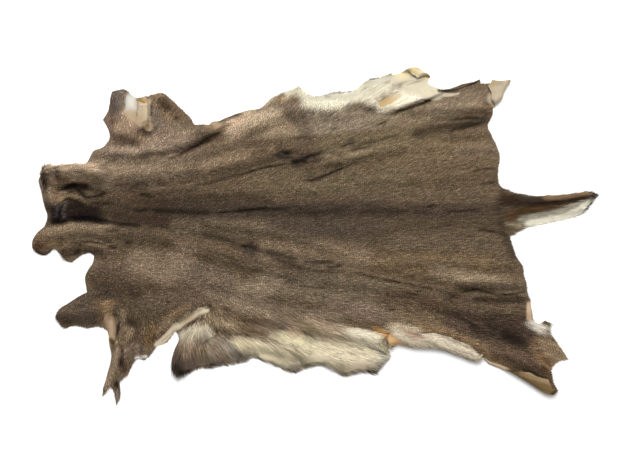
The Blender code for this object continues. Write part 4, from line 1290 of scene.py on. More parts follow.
def put(mesh: bpy.types.Mesh, name: str, kind: str, values: Numbers, domain: str = "POINT") -> None:
    """Stores values on a mesh.

    Args:
        mesh: the mesh.
        name: the attribute's name.
        kind: its type, as Blender names it.
        values: one row for each point or face.
        domain: POINT or FACE.
    """
    part = {"FLOAT": "value", "INT": "value", "FLOAT_VECTOR": "vector", "FLOAT_COLOR": "color"}[kind]
    layer = mesh.attributes.get(name) or mesh.attributes.new(name, kind, domain)
    layer.data.foreach_set(part, np.ascontiguousarray(values).ravel())


class Wire:
    """A node's output that takes part in Python expressions."""

    BUNDLES = ("VECTOR", "RGBA")

    def __init__(self, graph: "Graph", socket: bpy.types.NodeSocket) -> None:
        """Wraps one socket of a graph."""
        self.graph = graph
        self.socket = socket

    def beside(self, name: str) -> "Wire":
        """Another output of the same node."""
        return Wire(self.graph, self.socket.node.outputs[name])

    def joined(self, operation: str, first: Any, second: Any) -> "Wire":
        """Combines two values by a node.

        Args:
            operation: a Math or Vector Math operation that both have.
            first: a wire or a number.
            second: a wire or a number.

        Returns:
            The node's result.
        """
        many = [isinstance(x, Wire) and x.socket.type in self.BUNDLES for x in (first, second)]
        if not any(many):
            return self.graph.make("ShaderNodeMath", {"operation": operation}, {0: first, 1: second})
        if not all(many):
            bundle, factor = (first, second) if many[0] else (second, first)
            values = {0: bundle, "Scale": factor}
            return self.graph.make("ShaderNodeVectorMath", {"operation": "SCALE"}, values)
        return self.graph.make("ShaderNodeVectorMath", {"operation": operation}, {0: first, 1: second})

    def __add__(self, other: Any) -> "Wire":
        """self + other."""
        return self.joined("ADD", self, other)

    def __radd__(self, other: Any) -> "Wire":
        """other + self."""
        return self.joined("ADD", other, self)

    def __sub__(self, other: Any) -> "Wire":
        """self - other."""
        return self.joined("SUBTRACT", self, other)

    def __rsub__(self, other: Any) -> "Wire":
        """other - self."""
        return self.joined("SUBTRACT", other, self)

    def __mul__(self, other: Any) -> "Wire":
        """self * other."""
        return self.joined("MULTIPLY", self, other)

    def __rmul__(self, other: Any) -> "Wire":
        """other * self."""
        return self.joined("MULTIPLY", other, self)


@dataclass
class Graph:
    """A node tree as it is wired."""

    tree: bpy.types.NodeTree

    def make(self, kind: str, settings: dict | None = None, values: dict | None = None, out: Any = 0) -> Wire:
        """Adds a node.

        Args:
            kind: the node's type.
            settings: its own settings, or stops for a ramp's positions and colours.
            values: what goes into its sockets, numbers or wires, by name or index.
            out: the output that is wanted, by name or index.

        Returns:
            That output.
        """
        node = self.tree.nodes.new(kind)
        for name, value in (settings or {}).items():
            if name == "stops":
                self.set_stops(node.color_ramp, value)
            else:
                setattr(node, name, value)
        for name, value in (values or {}).items():
            self.feed(node.inputs[name], value)
        return Wire(self, node.outputs[out]) if node.outputs else Wire(self, node.inputs[0])

    def feed(self, socket: bpy.types.NodeSocket, value: Any) -> None:
        """Gives a socket its link or its value.

        Args:
            socket: a node's input.
            value: a wire or a plain value.
        """
        if isinstance(value, Wire):
            self.tree.links.new(value.socket, socket)
        else:
            socket.default_value = value

    @staticmethod
    def set_stops(ramp: bpy.types.ColorRamp, stops: Sequence[tuple[float, float]]) -> None:
        """Gives a ramp its positions and greys.

        Args:
            ramp: the ramp.
            stops: rows of a position and a grey.
        """
        while len(ramp.elements) < len(stops):
            ramp.elements.new(0.5)
        for element, (position, grey) in zip(ramp.elements, stops):
            element.position = position
            element.color = (grey, grey, grey, 1.0)


def shader_graph(name: str) -> tuple[bpy.types.Material, Graph, bpy.types.Node]:
    """Starts a material.

    Args:
        name: its name.

    Returns:
        The material, its graph and its main shader.
    """
    material = bpy.data.materials.new(name)
    material.use_nodes = True
    tree = material.node_tree
    return material, Graph(tree), tree.nodes["Principled BSDF"]


@dataclass(frozen=True)
class HairFinish:
    """The look of hair: its own colour, darker at the root partly as its real banding and partly as painted
    shade of the coat's depth, banded, and crimped where its phase says.
    """

    name: str
    bands: tuple[tuple[float, float], ...]
    roughness: float
    gloss: float
    crimp_contrast: float

    def material(self) -> bpy.types.Material:
        """Wires the finish up.

        Returns:
            Its material.
        """
        material, graph, shader = shader_graph(self.name)
        tint = graph.make("ShaderNodeAttribute", {"attribute_name": "tint"}, out="Color")
        along = graph.make("ShaderNodeAttribute", {"attribute_name": "along"}, out="Fac")
        band = graph.make("ShaderNodeValToRGB", {"stops": self.bands}, {"Fac": along})
        phase = graph.make("ShaderNodeAttribute", {"attribute_name": "phase"}, out="Fac")
        crimp = graph.make("ShaderNodeMath", {"operation": "SINE"}, {0: phase * math.tau})
        graph.feed(shader.inputs["Base Color"], tint * (band * (1.0 + self.crimp_contrast * crimp)))
        shader.inputs["Roughness"].default_value = self.roughness
        shader.inputs["Specular IOR Level"].default_value = self.gloss
        return material


@dataclass(frozen=True)
class HideFinish:
    """The look of tanned skin: fine pores and fibres, blotches, and a dry, slightly waxy face."""

    name: str = "tanned_skin"
    pores: float = 900.0
    blotches: float = 55.0
    wrinkles: float = 130.0
    dull: float = 0.72
    waxy: float = 0.48
    shade: float = 0.80
    blotch_shade: float = 0.26
    pore_shade: float = 0.14
    pore_height: float = 0.0002
    wrinkle_height: float = 0.0011
    blotch_height: float = 0.0016
    relief: float = 0.7
    gloss: float = 0.12

    def material(self) -> bpy.types.Material:
        """Wires the finish up.

        Returns:
            Its material.
        """
        material, graph, shader = shader_graph(self.name)
        tint = graph.make("ShaderNodeAttribute", {"attribute_name": "tint"}, out="Color")
        where = graph.make("ShaderNodeTexCoord", out="Object")
        pore = self.noise(graph, where, self.pores, 2.0)
        blotch = self.noise(graph, where, self.blotches, 4.0)
        wrinkle = self.noise(graph, where, self.wrinkles, 3.0)
        shade = self.shade + self.blotch_shade * blotch + self.pore_shade * pore
        graph.feed(shader.inputs["Base Color"], tint * shade)
        graph.feed(shader.inputs["Roughness"], self.dull - (self.dull - self.waxy) * blotch)
        height = self.pore_height * pore + self.wrinkle_height * wrinkle + self.blotch_height * blotch
        bumped = {"Strength": self.relief, "Distance": 1.0, "Height": height}
        bump = graph.make("ShaderNodeBump", values=bumped)
        graph.feed(shader.inputs["Normal"], bump)
        shader.inputs["Specular IOR Level"].default_value = self.gloss
        return material

    @staticmethod
    def noise(graph: Graph, where: Wire, scale: float, detail: float) -> Wire:
        """Soft noise from 0 to 1, scale to the metre."""
        values = {"Vector": where, "Scale": scale, "Detail": detail, "Roughness": 0.55}
        return graph.make("ShaderNodeTexNoise", values=values)


@dataclass
class Skin:
    """The tanned skin: one thin sheet with its cut rim, its folds and its turned edges."""

    hide: float = HIDE
    deepest: float = 0.0014
    ragged: float = 0.0011
    lock_inset: float = 0.85
    trail_inset: float = 0.0022
    arc_parts: int = 8
    flap_parts: int = 8
    flap_wave: float = 0.0016
    flap_waves: float = 60.0
    # The under hair's share of the coat's tone is a painted shade of the depth between hairs; turned_shade is
    # the painted shade on the hair side of turned edges.
    shaded_under_hair: float = 0.6
    turned_shade: float = 0.85
    settle: float = 0.6
    steadied: int = 7
    fine_where: float = 0.05
    sharp_from: float = math.radians(55)
    plan: Places = field(init=False)
    faces: list = field(init=False)
    line: Line = field(init=False)
    flesh: Numbers = field(init=False)
    turned: list = field(init=False)

    def cut(self) -> None:
        """Works out the rim and the flat plan within it."""
        self.line = self.rim()
        self.plan, self.faces = self.spread()

    def rim(self) -> Line:
        """Draws the rim as it is cut, in from the outline where it turns over or hair hangs over it.

        Returns:
            The rim.
        """
        drawn = rim_rows(RIM_STEP)
        places = drawn[:, :2]
        along = np.roll(places, -1, axis=0) - np.roll(places, 1, axis=0)
        along /= np.linalg.norm(along, axis=1)[:, None]
        out = np.stack([-along[:, 1], along[:, 0]], axis=1)
        steady = sum(np.roll(out, k, axis=0) for k in range(-self.steadied, self.steadied + 1))
        steady /= np.linalg.norm(steady, axis=1)[:, None]
        flaps = np.maximum(drawn[:, 3], 0.0)
        locks = np.maximum(drawn[:, 4], 0.0)
        turned = (flaps > 0.0)[:, None]
        inset = CURL_RADIUS * np.sin(np.minimum(turn_of(flaps), math.pi / 2))
        inset = inset + self.lock_inset * locks
        inset = inset + self.trail_inset * np.maximum(out[:, 0], 0.0) * (flaps == 0.0)
        inset = inset + self.ragged * rippled(places, RIM_RIPPLES) * (flaps == 0.0)
        rougher = rippled(places, FLAP_RIPPLES, 1.0)
        out = np.where(turned, steady, out)
        places = places - out * inset[:, None]
        kept = without_loops(places)
        return Line(places[kept], out[kept], (flaps * rougher)[kept], locks[kept])

    def spread(self) -> tuple[Places, list]:
        """Fills the rim, finely where the skin is bare.

        Returns:
            The plan's places, the rim's first, and its faces as rows of three.
        """
        line = self.line.places
        coarse, fine = (self.grid(line, step) for step in (GRID_STEP, FINE_STEP))
        shares = [bareness(seen(in_frame(self.on_top(grid)))) for grid in (fine, coarse)]
        bare, also = (share > self.fine_where for share in shares)
        grid = np.vstack([coarse[~also], fine[bare]])
        grid = grid[to_line(grid, line)[0] > CLEAR_OF_RIM]
        places = np.vstack([line, grid])
        ring = [(i, (i + 1) % len(line)) for i in range(len(line))]
        found = delaunay_2d_cdt([Vector(p) for p in places], ring, [], 1, 1e-7)
        order = [source[0] for source in found[3]]
        return places, [[order[i] for i in face] for face in found[2]]

    @staticmethod
    def on_top(places: Places) -> Numbers:
        """Points on the sheet's upper face."""
        return np.column_stack([places, underside(places) + HIDE])

    @staticmethod
    def grid(line: Places, step: float) -> Places:
        """Lays an even grid of triangles' corners within a closed line.

        Args:
            line: the line's points.
            step: how far apart the corners are.

        Returns:
            Their places.
        """
        low, high = line.min(axis=0), line.max(axis=0)
        pitch = step * math.sqrt(3) / 2
        across, up = np.meshgrid(np.arange(low[0], high[0], step), np.arange(low[1], high[1], pitch))
        across = across + 0.5 * step * (np.arange(len(up)) % 2)[:, None]
        places = np.stack([across.ravel(), up.ravel()], axis=1)
        return places[inside(places, line)]

    def curl(self, i: int, under: float, depth_at: Any) -> tuple[list, list]:
        """The turned edge at one place of the rim.

        Args:
            i: which of the rim's points.
            under: height of the flesh side there.
            depth_at: gives the coat's thickness at a place and a distance to the rim.

        Returns:
            Points of its flesh side and of its hair side.
        """
        edge, out, flap = self.line.places[i], self.line.outward[i], self.line.flaps[i]
        turn = float(turn_of(flap))
        profile = [
            (math.sin(angle), 1.0 - math.cos(angle), 0.0, angle)
            for angle in (turn * k / self.arc_parts for k in range(1, self.arc_parts + 1))
        ]
        profile += [
            (math.sin(turn), 1.0 - math.cos(turn), flap * k / self.flap_parts, turn)
            for k in range(1, self.flap_parts + 1)
        ]
        flesh, hair = [], []
        for level, up, run, angle in profile:
            reach = CURL_RADIUS * level + run * math.cos(angle)
            settled = 1.0 - self.settle * (run / flap) ** 2
            height = under + (CURL_RADIUS * up + run * math.sin(angle)) * settled
            place = edge + out * reach
            if reach < 0.0:
                wave = self.flap_wave * (1.0 + noise.noise(Vector((*(place * self.flap_waves), 2.0))))
                height = max(height, depth_at(place, -reach) + CURL_GAP + self.hide + wave)
            flesh.append((*place, height))
            back = place - out * self.hide * math.sin(angle)
            hair.append((*back, height + self.hide * math.cos(angle)))
        return flesh, hair

    def build(self) -> bpy.types.Object:
        """Makes the closed sheet.

        Returns:
            Its object.
        """
        count = len(self.line.places)
        low = underside(self.plan)
        flesh = [(x, y, z) for (x, y), z in zip(self.plan, low)]
        there = seen(in_frame(np.array(flesh)))
        deep = np.clip(creased(there)[1], -self.deepest, self.deepest) * bareness(there)
        hair = [(x, y, z + self.hide - d) for (x, y), z, d in zip(self.plan, low, deep)]

        def depth_at(place: Numbers, reach: float) -> float:
            """Height of the coat's top at a place."""
            return float(underside(place[None])[0] + coat_depth(place[None], reach)[0])

        turns = turn_of(self.line.flaps)
        columns = [[i] for i in range(count)]
        for i in np.flatnonzero(turns > LEAST_TURN):
            added_flesh, added_hair = self.curl(i, low[i], depth_at)
            columns[i] += range(len(flesh), len(flesh) + len(added_flesh))
            flesh += added_flesh
            hair += added_hair
        self.turned = []
        for i in range(count):
            if abs(turns[i] - turns[(i + 1) % count]) < SLIT_TURN:
                self.turned += self.strip(columns[i], columns[(i + 1) % count])
        self.flesh = np.array(flesh)
        mesh = bpy.data.meshes.new("skin")
        faces = self.closed(self.faces + self.turned, len(flesh))
        mesh.from_pydata(in_frame(np.array(flesh + hair)).tolist(), [], faces)
        mesh.shade_smooth()
        mesh.set_sharp_from_angle(angle=self.sharp_from)
        self.paint(mesh, len(flesh))
        return named_object("skin", mesh)

    @staticmethod
    def closed(faces: list, total: int) -> list:
        """Adds the hair side to the flesh side, and a wall along the cut between them.

        Args:
            faces: the flesh side's faces, as seen from the hair side.
            total: how many points each side has.

        Returns:
            The faces of the closed sheet.
        """
        used = {(face[k], face[(k + 1) % 3]) for face in faces for k in range(3)}
        walls = []
        for a, b in sorted(used):
            if (b, a) not in used:
                walls += [[a, b, b + total], [a, b + total, a + total]]
        below = [face[::-1] for face in faces]
        return below + [[i + total for i in face] for face in faces] + walls

    @staticmethod
    def strip(here: list[int], there: list[int]) -> list[list[int]]:
        """Joins two neighbouring columns of a turned edge, by a fan where one runs out.

        Args:
            here: one column's points, by number.
            there: the next one's.

        Returns:
            The faces between them.
        """
        faces = []
        for k in range(max(len(here), len(there)) - 1):
            a, b = here[min(k, len(here) - 1)], here[min(k + 1, len(here) - 1)]
            c, d = there[min(k, len(there) - 1)], there[min(k + 1, len(there) - 1)]
            if a != b:
                faces.append([a, c, b])
            if c != d:
                faces.append([b, c, d])
        return faces

    def paint(self, mesh: bpy.types.Mesh, total: int) -> None:
        """Colours the sheet: flesh below and on its turned edges, and the hair's own under hair, whose darker
        tone is painted shade of the depth between hairs. Creases get painted shade, and the hair side of
        turned edges is painted in shade.

        Args:
            mesh: the sheet's mesh.
            total: how many points each side has.
        """
        there = seen(in_frame(self.flesh))
        # Painted shade in the creases and painted light on the ridges, on the leather and on the under hair.
        dark = creased(there)[0]
        shade = crease_shade(dark, BARE_STEEP)[:, None]
        leather = LEATHER_GAIN * toned(there, EDGE_GROUND, SKIN_TONES, LEATHER_WANDER) * shade
        shade = crease_shade(dark, FUR_STEEP)[:, None]
        shaded_under_hair = self.shaded_under_hair * toned(there, COAT_GROUND, COAT_TONES, COAT_WANDER) * shade
        bare = bareness(there)[:, None]
        top = shaded_under_hair + (leather - shaded_under_hair) * bare
        planned = np.arange(total) < len(self.plan)
        # The turned edges' hair side: the leather's colour in painted shade.
        top = np.where(planned[:, None], top, self.turned_shade * leather)
        both = np.vstack([leather, top])
        put(mesh, "tint", "FLOAT_COLOR", np.hstack([both, np.ones((2 * total, 1))]))


def in_frame(points: Numbers) -> Numbers:
    """Points of the tables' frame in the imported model's."""
    return points - np.array((*OUTLINE_MIDDLE, 0.0))


def seen(points: Numbers) -> Places:
    """Where points lie in the tables of colours, creases and bare skin.

    Their places were read off the floor along the photo's lines of sight, so a raised point's is past it.

    Args:
        points: rows of x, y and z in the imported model's frame.

    Returns:
        Rows of x and y in the tables' frame.
    """
    eye = np.array(CAMERA_PLACE)
    reach = eye[2] / (eye[2] - points[:, 2:])
    return eye[:2] + (points[:, :2] - eye[:2]) * reach + OUTLINE_MIDDLE


def bareness(places: Places) -> Numbers:
    """How bare of hair each place is, from 0 to 1."""
    spots = strayed(places, BARE_WANDER, BARE_STRAY)
    return np.max([on_stroke(spots, row) * row.value for row in BARE], axis=0)


class Growth(Enum):
    """Kinds of hair."""

    COAT = "coat"
    BELLY = "belly_hair"
    TAIL = "tail_hair"


@dataclass(frozen=True)
class Hair:
    """One kind of hair: its blades' form and how they vary."""

    growth: Growth
    segments: int
    width: float
    bend: float
    scatter: float
    clump: float
    contrast: float
    finish: HairFinish


BACK_HAIR = Hair(
    Growth.COAT, segments=1, width=0.00152, bend=0.0, scatter=0.20, clump=0.30, contrast=0.26,
    finish=HairFinish(
        "back_hair", ((0.0, 0.50), (0.35, 0.80), (0.72, 1.20), (1.0, 0.95)), 0.80, 0.04, 0.45
    ),
)
BELLY_HAIR = Hair(
    Growth.BELLY, segments=2, width=0.00150, bend=10.0, scatter=0.16, clump=0.18, contrast=0.26,
    finish=HairFinish(
        "belly_hair", ((0.0, 0.62), (0.3, 0.88), (0.8, 1.06), (1.0, 1.08)), 0.70, 0.12, 0.04
    ),
)
TAIL_HAIR = Hair(
    Growth.TAIL, segments=2, width=0.00150, bend=9.0, scatter=0.12, clump=0.22, contrast=0.16,
    finish=HairFinish("tail_hair", ((0.0, 0.60), (0.3, 0.90), (0.8, 1.08), (1.0, 1.02)), 0.70, 0.08, 0.05),
)


@dataclass
class Plot:
    """A stretch of the skin whose hair is one piece."""

    name: str
    number: int
    hair: Hair
    density: float


def growing_tree() -> bpy.types.NodeTree:
    """Geometry Nodes that grow one plot's hair from the skin.

    Returns:
        The node group, with its sizes as inputs.
    """
    tree = bpy.data.node_groups.new("growing hair", "GeometryNodeTree")
    for name, kind in (
        ("Skin", "Geometry"), ("Plot", "Int"), ("Density", "Float"), ("Seed", "Int"),
        ("Width", "Float"), ("Segments", "Int"), ("Bend", "Float"), ("Scatter", "Float"),
        ("Clump", "Float"), ("Material", "Material"),
    ):
        tree.interface.new_socket(name, in_out="INPUT", socket_type="NodeSocket" + kind)
    tree.interface.new_socket("Hair", in_out="OUTPUT", socket_type="NodeSocketGeometry")
    graph = Graph(tree)
    skin = graph.make("NodeGroupInput")

    def stored(name: str, kind: str) -> Wire:
        """An attribute of the skin."""
        return graph.make("GeometryNodeInputNamedAttribute", {"data_type": kind}, {"Name": name})

    def chance(low: Any, high: Any, layer: int, kind: str = "FLOAT") -> Wire:
        """A random number or vector for each hair.

        Args:
            low: the least.
            high: the most.
            layer: tells one chance from another.
            kind: FLOAT or FLOAT_VECTOR.

        Returns:
            The chance.
        """
        ends = (0, 1) if kind == "FLOAT_VECTOR" else (2, 3)
        values = {ends[0]: low, ends[1]: high, "Seed": skin.beside("Seed") + layer}
        found = graph.make("FunctionNodeRandomValue", {"data_type": kind}, values)
        return found if kind == "FLOAT_VECTOR" else Wire(graph, found.socket.node.outputs[1])

    mine = graph.make(
        "FunctionNodeCompare", {"data_type": "INT", "operation": "EQUAL"},
        {2: stored("plot", "INT"), 3: skin.beside("Plot")},
    )
    points = graph.make(
        "GeometryNodeDistributePointsOnFaces", {"distribute_method": "RANDOM"},
        {"Mesh": skin, "Selection": mine, "Seed": skin.beside("Seed"),
         "Density": skin.beside("Density") * stored("thickness", "FLOAT")},
    )
    normal = points.beside("Normal")

    # The way a hair points: along the lay and up by its stand, with clumps and a little chance.
    place = graph.make("GeometryNodeInputPosition")
    drift = graph.make("ShaderNodeTexNoise", values={"Vector": place, "Scale": CLUMPS, "Detail": 2.0}, out=1)
    centred = graph.make("ShaderNodeVectorMath", {"operation": "SUBTRACT"}, {0: drift, 1: (0.5, 0.5, 0.5)})
    lay = stored("lay", "FLOAT_VECTOR")
    steep = stored("stand", "FLOAT")
    level = graph.make("ShaderNodeMath", {"operation": "COSINE"}, {0: steep})
    risen = graph.make("ShaderNodeMath", {"operation": "SINE"}, {0: steep})
    flung = chance(*BLADE_FLINGS, 1, "FLOAT_VECTOR") * skin.beside("Scatter")
    way = lay * level + normal * risen + centred * skin.beside("Clump") + flung
    turn = graph.make(
        "FunctionNodeAxesToRotation", {"primary_axis": "Z", "secondary_axis": "X"}, {0: way, 1: normal}
    )

    # One blade of unit height, bent over towards the skin.
    blade = graph.make(
        "GeometryNodeMeshCone", {"fill_type": "NGON"},
        {"Vertices": 3, "Side Segments": skin.beside("Segments"), "Radius Top": 0.0,
         "Radius Bottom": 0.5, "Depth": 1.0},
    )
    height = graph.make("ShaderNodeSeparateXYZ", values={0: graph.make("GeometryNodeInputPosition")}, out="Z")
    kept = graph.make(
        "GeometryNodeStoreNamedAttribute", {"data_type": "FLOAT", "domain": "POINT"},
        {"Geometry": blade, "Name": "along", "Value": height},
    )
    full_length = stored("hair_length", "FLOAT")
    size = full_length * chance(*BLADE_LENGTHS, 2)
    girth = skin.beside("Width") * chance(*BLADE_WIDTHS, 3)
    spread = graph.make("ShaderNodeCombineXYZ", values={0: girth, 1: girth, 2: size})
    planted = graph.make(
        "GeometryNodeInstanceOnPoints",
        values={"Points": points, "Instance": kept, "Rotation": turn, "Scale": spread},
    )
    real = graph.make("GeometryNodeRealizeInstances", values={0: planted})

    # Long hair droops by the square of its own length.
    fall = stored("along", "FLOAT")
    drop = fall * fall * full_length * full_length * skin.beside("Bend") * -1.0
    droop = graph.make("ShaderNodeCombineXYZ", values={2: drop})
    bent = graph.make("GeometryNodeSetPosition", values={"Geometry": real, "Offset": droop})
    finish = {"Geometry": bent, "Material": skin.beside("Material")}
    dressed = graph.make("GeometryNodeSetMaterial", values=finish)
    graph.make("NodeGroupOutput", values={0: dressed})
    return tree


@dataclass
class Fur:
    """All of the pelt's hair: where it grows, which way it lies, and its pieces."""

    skin: Skin
    base_length: float = 0.0130
    shortest: float = 0.0035
    growth_gain: float = 1.3
    outwards: float = 0.9
    least_stand: float = 0.08
    most_stand: float = 0.62
    rooted: float = 0.7 * HIDE
    bare_below: float = 0.5
    overhang: float = 0.004
    lock_reach: float = 1.3
    least_ahead: float = 0.2
    long_from: float = 0.0225
    belly_from: float = 0.2
    tail_from: float = 0.5
    tail_side: float = 0.15
    neck_before: float = -0.55
    body_plots: tuple[str, ...] = ("coat_shoulders", "coat_ribs", "coat_loin", "coat_rump")
    body_density: float = 188000.0
    long_density: float = 150000.0
    tail_crowd: float = 1.4
    tuft_crowd: float = 1.3
    lowest: float = 0.0004
    edge_length: float = 0.013
    edge_stand: float = 0.2
    covered_length: float = 0.005
    hairy_from: float = 0.3
    calm_over: float = 0.003
    calm_evenness: float = 0.5
    calm_flatness: float = 0.6
    pale_evenness: float = 0.5
    pale_streaks: float = 0.45
    brightest_chance: float = 1.1
    crimp_chance: float = 0.12
    tilt_step: float = 0.001
    fold_relief: float = 2.2
    fine_relief: float = 0.55
    blade_relief: float = 0.35
    loose_relief: float = 0.26
    edge_relief: float = 0.30
    rim_crowd: float = 0.9
    rim_crowd_over: float = 0.025
    short_crowd: float = 0.8
    short_below: float = 0.6
    cut_to: tuple[float, ...] = (0.95, 0.75, 0.55, 0.35)
    cut_from: float = 0.75
    clear_below: float = 0.35
    pieces: list = field(default_factory=list)

    def lay_at(self, places: Places) -> Places:
        """Which way the hair lies.

        Args:
            places: rows of x and y.

        Returns:
            A unit vector for each place.
        """
        way = np.stack([np.ones(len(places)), self.outwards * places[:, 1]], axis=1)
        for row in LAYS:
            run = np.array((row.x1 - row.x0, row.y1 - row.y0))
            run /= np.linalg.norm(run)
            way += soft_line(places, row)[:, None] * row.value * run
        return way / np.linalg.norm(way, axis=1)[:, None]

    def length_at(self, places: Places) -> Numbers:
        """How long the hair is, before the rim shortens it.

        Args:
            places: rows of x and y.

        Returns:
            A length for each place.
        """
        length = np.full(len(places), self.base_length)
        for row in GROWTH:
            length += (row.value - length) * np.minimum(1.0, self.growth_gain * soft_line(places, row))
        return length

    def growth_at(self, places: Places, way: Places, from_rim: Numbers, nearest: Numbers) -> list[Numbers]:
        """How the hair grows on the plan, also where the rim or a turned edge is near.

        Args:
            places: the plan's places.
            way: which way the hair lies there.
            from_rim: how far each is from the rim.
            nearest: which of the rim's points is nearest to it.

        Returns:
            The hair's length, how steeply it stands, in radians, and how thickly it grows.
        """
        line = self.skin.line
        length = self.length_at(places)
        turned = line.flaps[nearest] > 0.0
        locks = line.locks[nearest]
        hang = np.where(turned, -line.flaps[nearest], self.overhang + self.lock_reach * locks)
        ahead = np.maximum((way * line.outward[nearest]).sum(axis=1), 0.0)
        room = (from_rim + hang) / np.maximum(ahead, self.least_ahead)
        length = np.minimum(length, np.maximum(room, self.shortest))
        covered = turned & (from_rim < line.flaps[nearest] + self.overhang)
        length = np.where(covered, self.covered_length, length)
        pile = coat_depth(places, from_rim) - HIDE
        stand = np.arcsin(np.clip(pile / length, self.least_stand, self.most_stand))
        bare = bareness(seen(in_frame(self.skin.on_top(places))))
        crowd = 1.0 + self.short_crowd * smooth(1.0 - length / (self.short_below * self.base_length))
        crowd += self.rim_crowd * smooth(1.0 - from_rim / self.rim_crowd_over) * (locks > 0.0)
        return [length, stand, np.clip(1.5 - 2.0 * bare, 0.0, 1.0) * crowd]

    def bed(self) -> bpy.types.Object:
        """The skin's upper face with all that the growing reads from it.

        Returns:
            An object of its own, which isn't kept.
        """
        skin = self.skin
        places = skin.plan
        from_rim, nearest = to_line(places, skin.line.places)
        way = self.lay_at(places)
        length, stand, thickness = self.growth_at(places, way, from_rim, nearest)

        plan, total = len(places), len(skin.flesh)
        more = skin.flesh[plan:]
        mesh = bpy.data.meshes.new("bed")
        low = underside(places)
        hairy = self.hairy_edges()
        numbers = np.append(self.plots(places, length), np.full(len(hairy), len(self.body_plots)))
        numbers[len(skin.faces) :] += skin.flesh[[face[0] for face in hairy], 1] < 0.0
        top = np.column_stack([places, low + coat_depth(places, from_rim)])
        mesh.from_pydata(in_frame(np.vstack([top, more])).tolist(), [], skin.faces + hairy)
        up = np.empty(3 * total)
        mesh.vertices.foreach_get("normal", up)
        up = up.reshape(-1, 3)
        bed = np.column_stack([places, low + self.rooted])
        mesh.vertices.foreach_set("co", in_frame(np.vstack([bed, more])).ravel())
        lay = np.column_stack([np.vstack([way, self.lay_at(more[:, :2])]), np.zeros(total)])
        lay -= up * (lay * up).sum(axis=1)[:, None]
        lay /= np.maximum(np.linalg.norm(lay, axis=1), 0.1)[:, None]
        put(mesh, "lay", "FLOAT_VECTOR", lay)
        put(mesh, "up", "FLOAT_VECTOR", up)
        put(mesh, "edge", "FLOAT", np.arange(total) >= plan)
        put(mesh, "hair_length", "FLOAT", np.append(length, np.full(len(more), self.edge_length)))
        put(mesh, "stand", "FLOAT", np.append(stand, np.full(len(more), self.edge_stand)))
        put(mesh, "thickness", "FLOAT", np.append(thickness, np.ones(len(more))))
        put(mesh, "plot", "INT", numbers, "FACE")
        return named_object("bed", mesh)

    def hairy_edges(self) -> list:
        """Finds the hair on turned edges.

        Returns:
            The faces that it grows on.
        """
        flesh = self.skin.flesh
        hairy = sum(soft_line(flesh[:, :2], row) for row in HAIRY_EDGES) > self.hairy_from
        bare = bareness(seen(in_frame(flesh))) > self.bare_below
        return [face[::-1] for face in self.skin.turned if all(hairy[face] & ~bare[face])]

    def plots(self, places: Places, length: Numbers) -> Numbers:
        """Sorts the plan's faces into plots: long hair by where it grows, the rest in equal shares.

        Args:
            places: the plan's places.
            length: how long the hair is at each.

        Returns:
            The number of each face's plot.
        """
        corners = np.array(self.skin.faces)
        middle = places[corners].mean(axis=1)
        a, b, c = (places[corners[:, k]] for k in range(3))
        area = 0.5 * np.abs((b - a)[:, 0] * (c - a)[:, 1] - (b - a)[:, 1] * (c - a)[:, 0])
        long = length[corners].mean(axis=1) > self.long_from
        order = np.argsort(middle[:, 0])
        share = np.cumsum(np.where(long, 0.0, area)[order])
        number = np.zeros(len(corners), int)
        count = len(self.body_plots)
        number[order] = np.minimum((share / share[-1] * count).astype(int), count - 1)
        x, y = middle.T
        number[long & (y > self.belly_from)] = count
        number[long & (y < -self.belly_from)] = count + 1
        number[long & (x > self.tail_from) & (np.abs(y) < self.tail_side)] = count + 2
        number[long & (x > self.tail_from) & (y < -self.belly_from)] = count + 3
        number[long & (x < self.neck_before)] = 0
        return number

    def grow(self) -> None:
        """Makes every piece of hair."""
        bed = self.bed()
        tree = growing_tree()
        count = len(self.body_plots)
        plots = [Plot(name, i, BACK_HAIR, self.body_density) for i, name in enumerate(self.body_plots)]
        plots += [
            Plot("belly_hair_right", count, BELLY_HAIR, self.long_density),
            Plot("belly_hair_left", count + 1, BELLY_HAIR, self.long_density),
            Plot("tail_brush", count + 2, TAIL_HAIR, self.tail_crowd * self.long_density),
            Plot("hock_tuft", count + 3, BELLY_HAIR, self.tuft_crowd * self.long_density),
        ]
        materials = {hair.growth: hair.finish.material() for hair in (BACK_HAIR, BELLY_HAIR, TAIL_HAIR)}
        for plot in plots:
            self.pieces.append(self.piece(plot, bed, tree, materials[plot.hair.growth]))
        bpy.data.objects.remove(bed, do_unlink=True)

    def piece(
        self, plot: Plot, bed: bpy.types.Object, tree: bpy.types.NodeTree, material: bpy.types.Material
    ) -> bpy.types.Object:
        """Grows one plot's hair.

        Args:
            plot: the plot.
            bed: the skin that it grows from.
            tree: the growing nodes.
            material: its finish.

        Returns:
            The hair as one plain mesh object.
        """
        hair = plot.hair
        modifier = bed.modifiers.new("growing", "NODES")
        modifier.node_group = tree
        sizes = {
            "Plot": plot.number, "Density": plot.density, "Seed": SEED + 11 * plot.number,
            "Width": hair.width, "Segments": hair.segments, "Bend": hair.bend,
            "Scatter": hair.scatter, "Clump": hair.clump, "Material": material,
        }
        for item in tree.interface.items_tree:
            if item.name in sizes and item.in_out == "INPUT":
                modifier[item.identifier] = sizes[item.name]
        held = bed.evaluated_get(bpy.context.evaluated_depsgraph_get())
        mesh = bpy.data.meshes.new_from_object(held)
        bed.modifiers.remove(modifier)
        mesh.name = plot.name
        mesh.materials.clear()
        mesh.materials.append(material)
        self.colour(mesh, hair, plot.number)
        for name in ("lay", "up", "edge", "hair_length", "stand", "thickness"):
            if name in mesh.attributes:
                mesh.attributes.remove(mesh.attributes[name])
        piece = named_object(plot.name, mesh)
        return piece

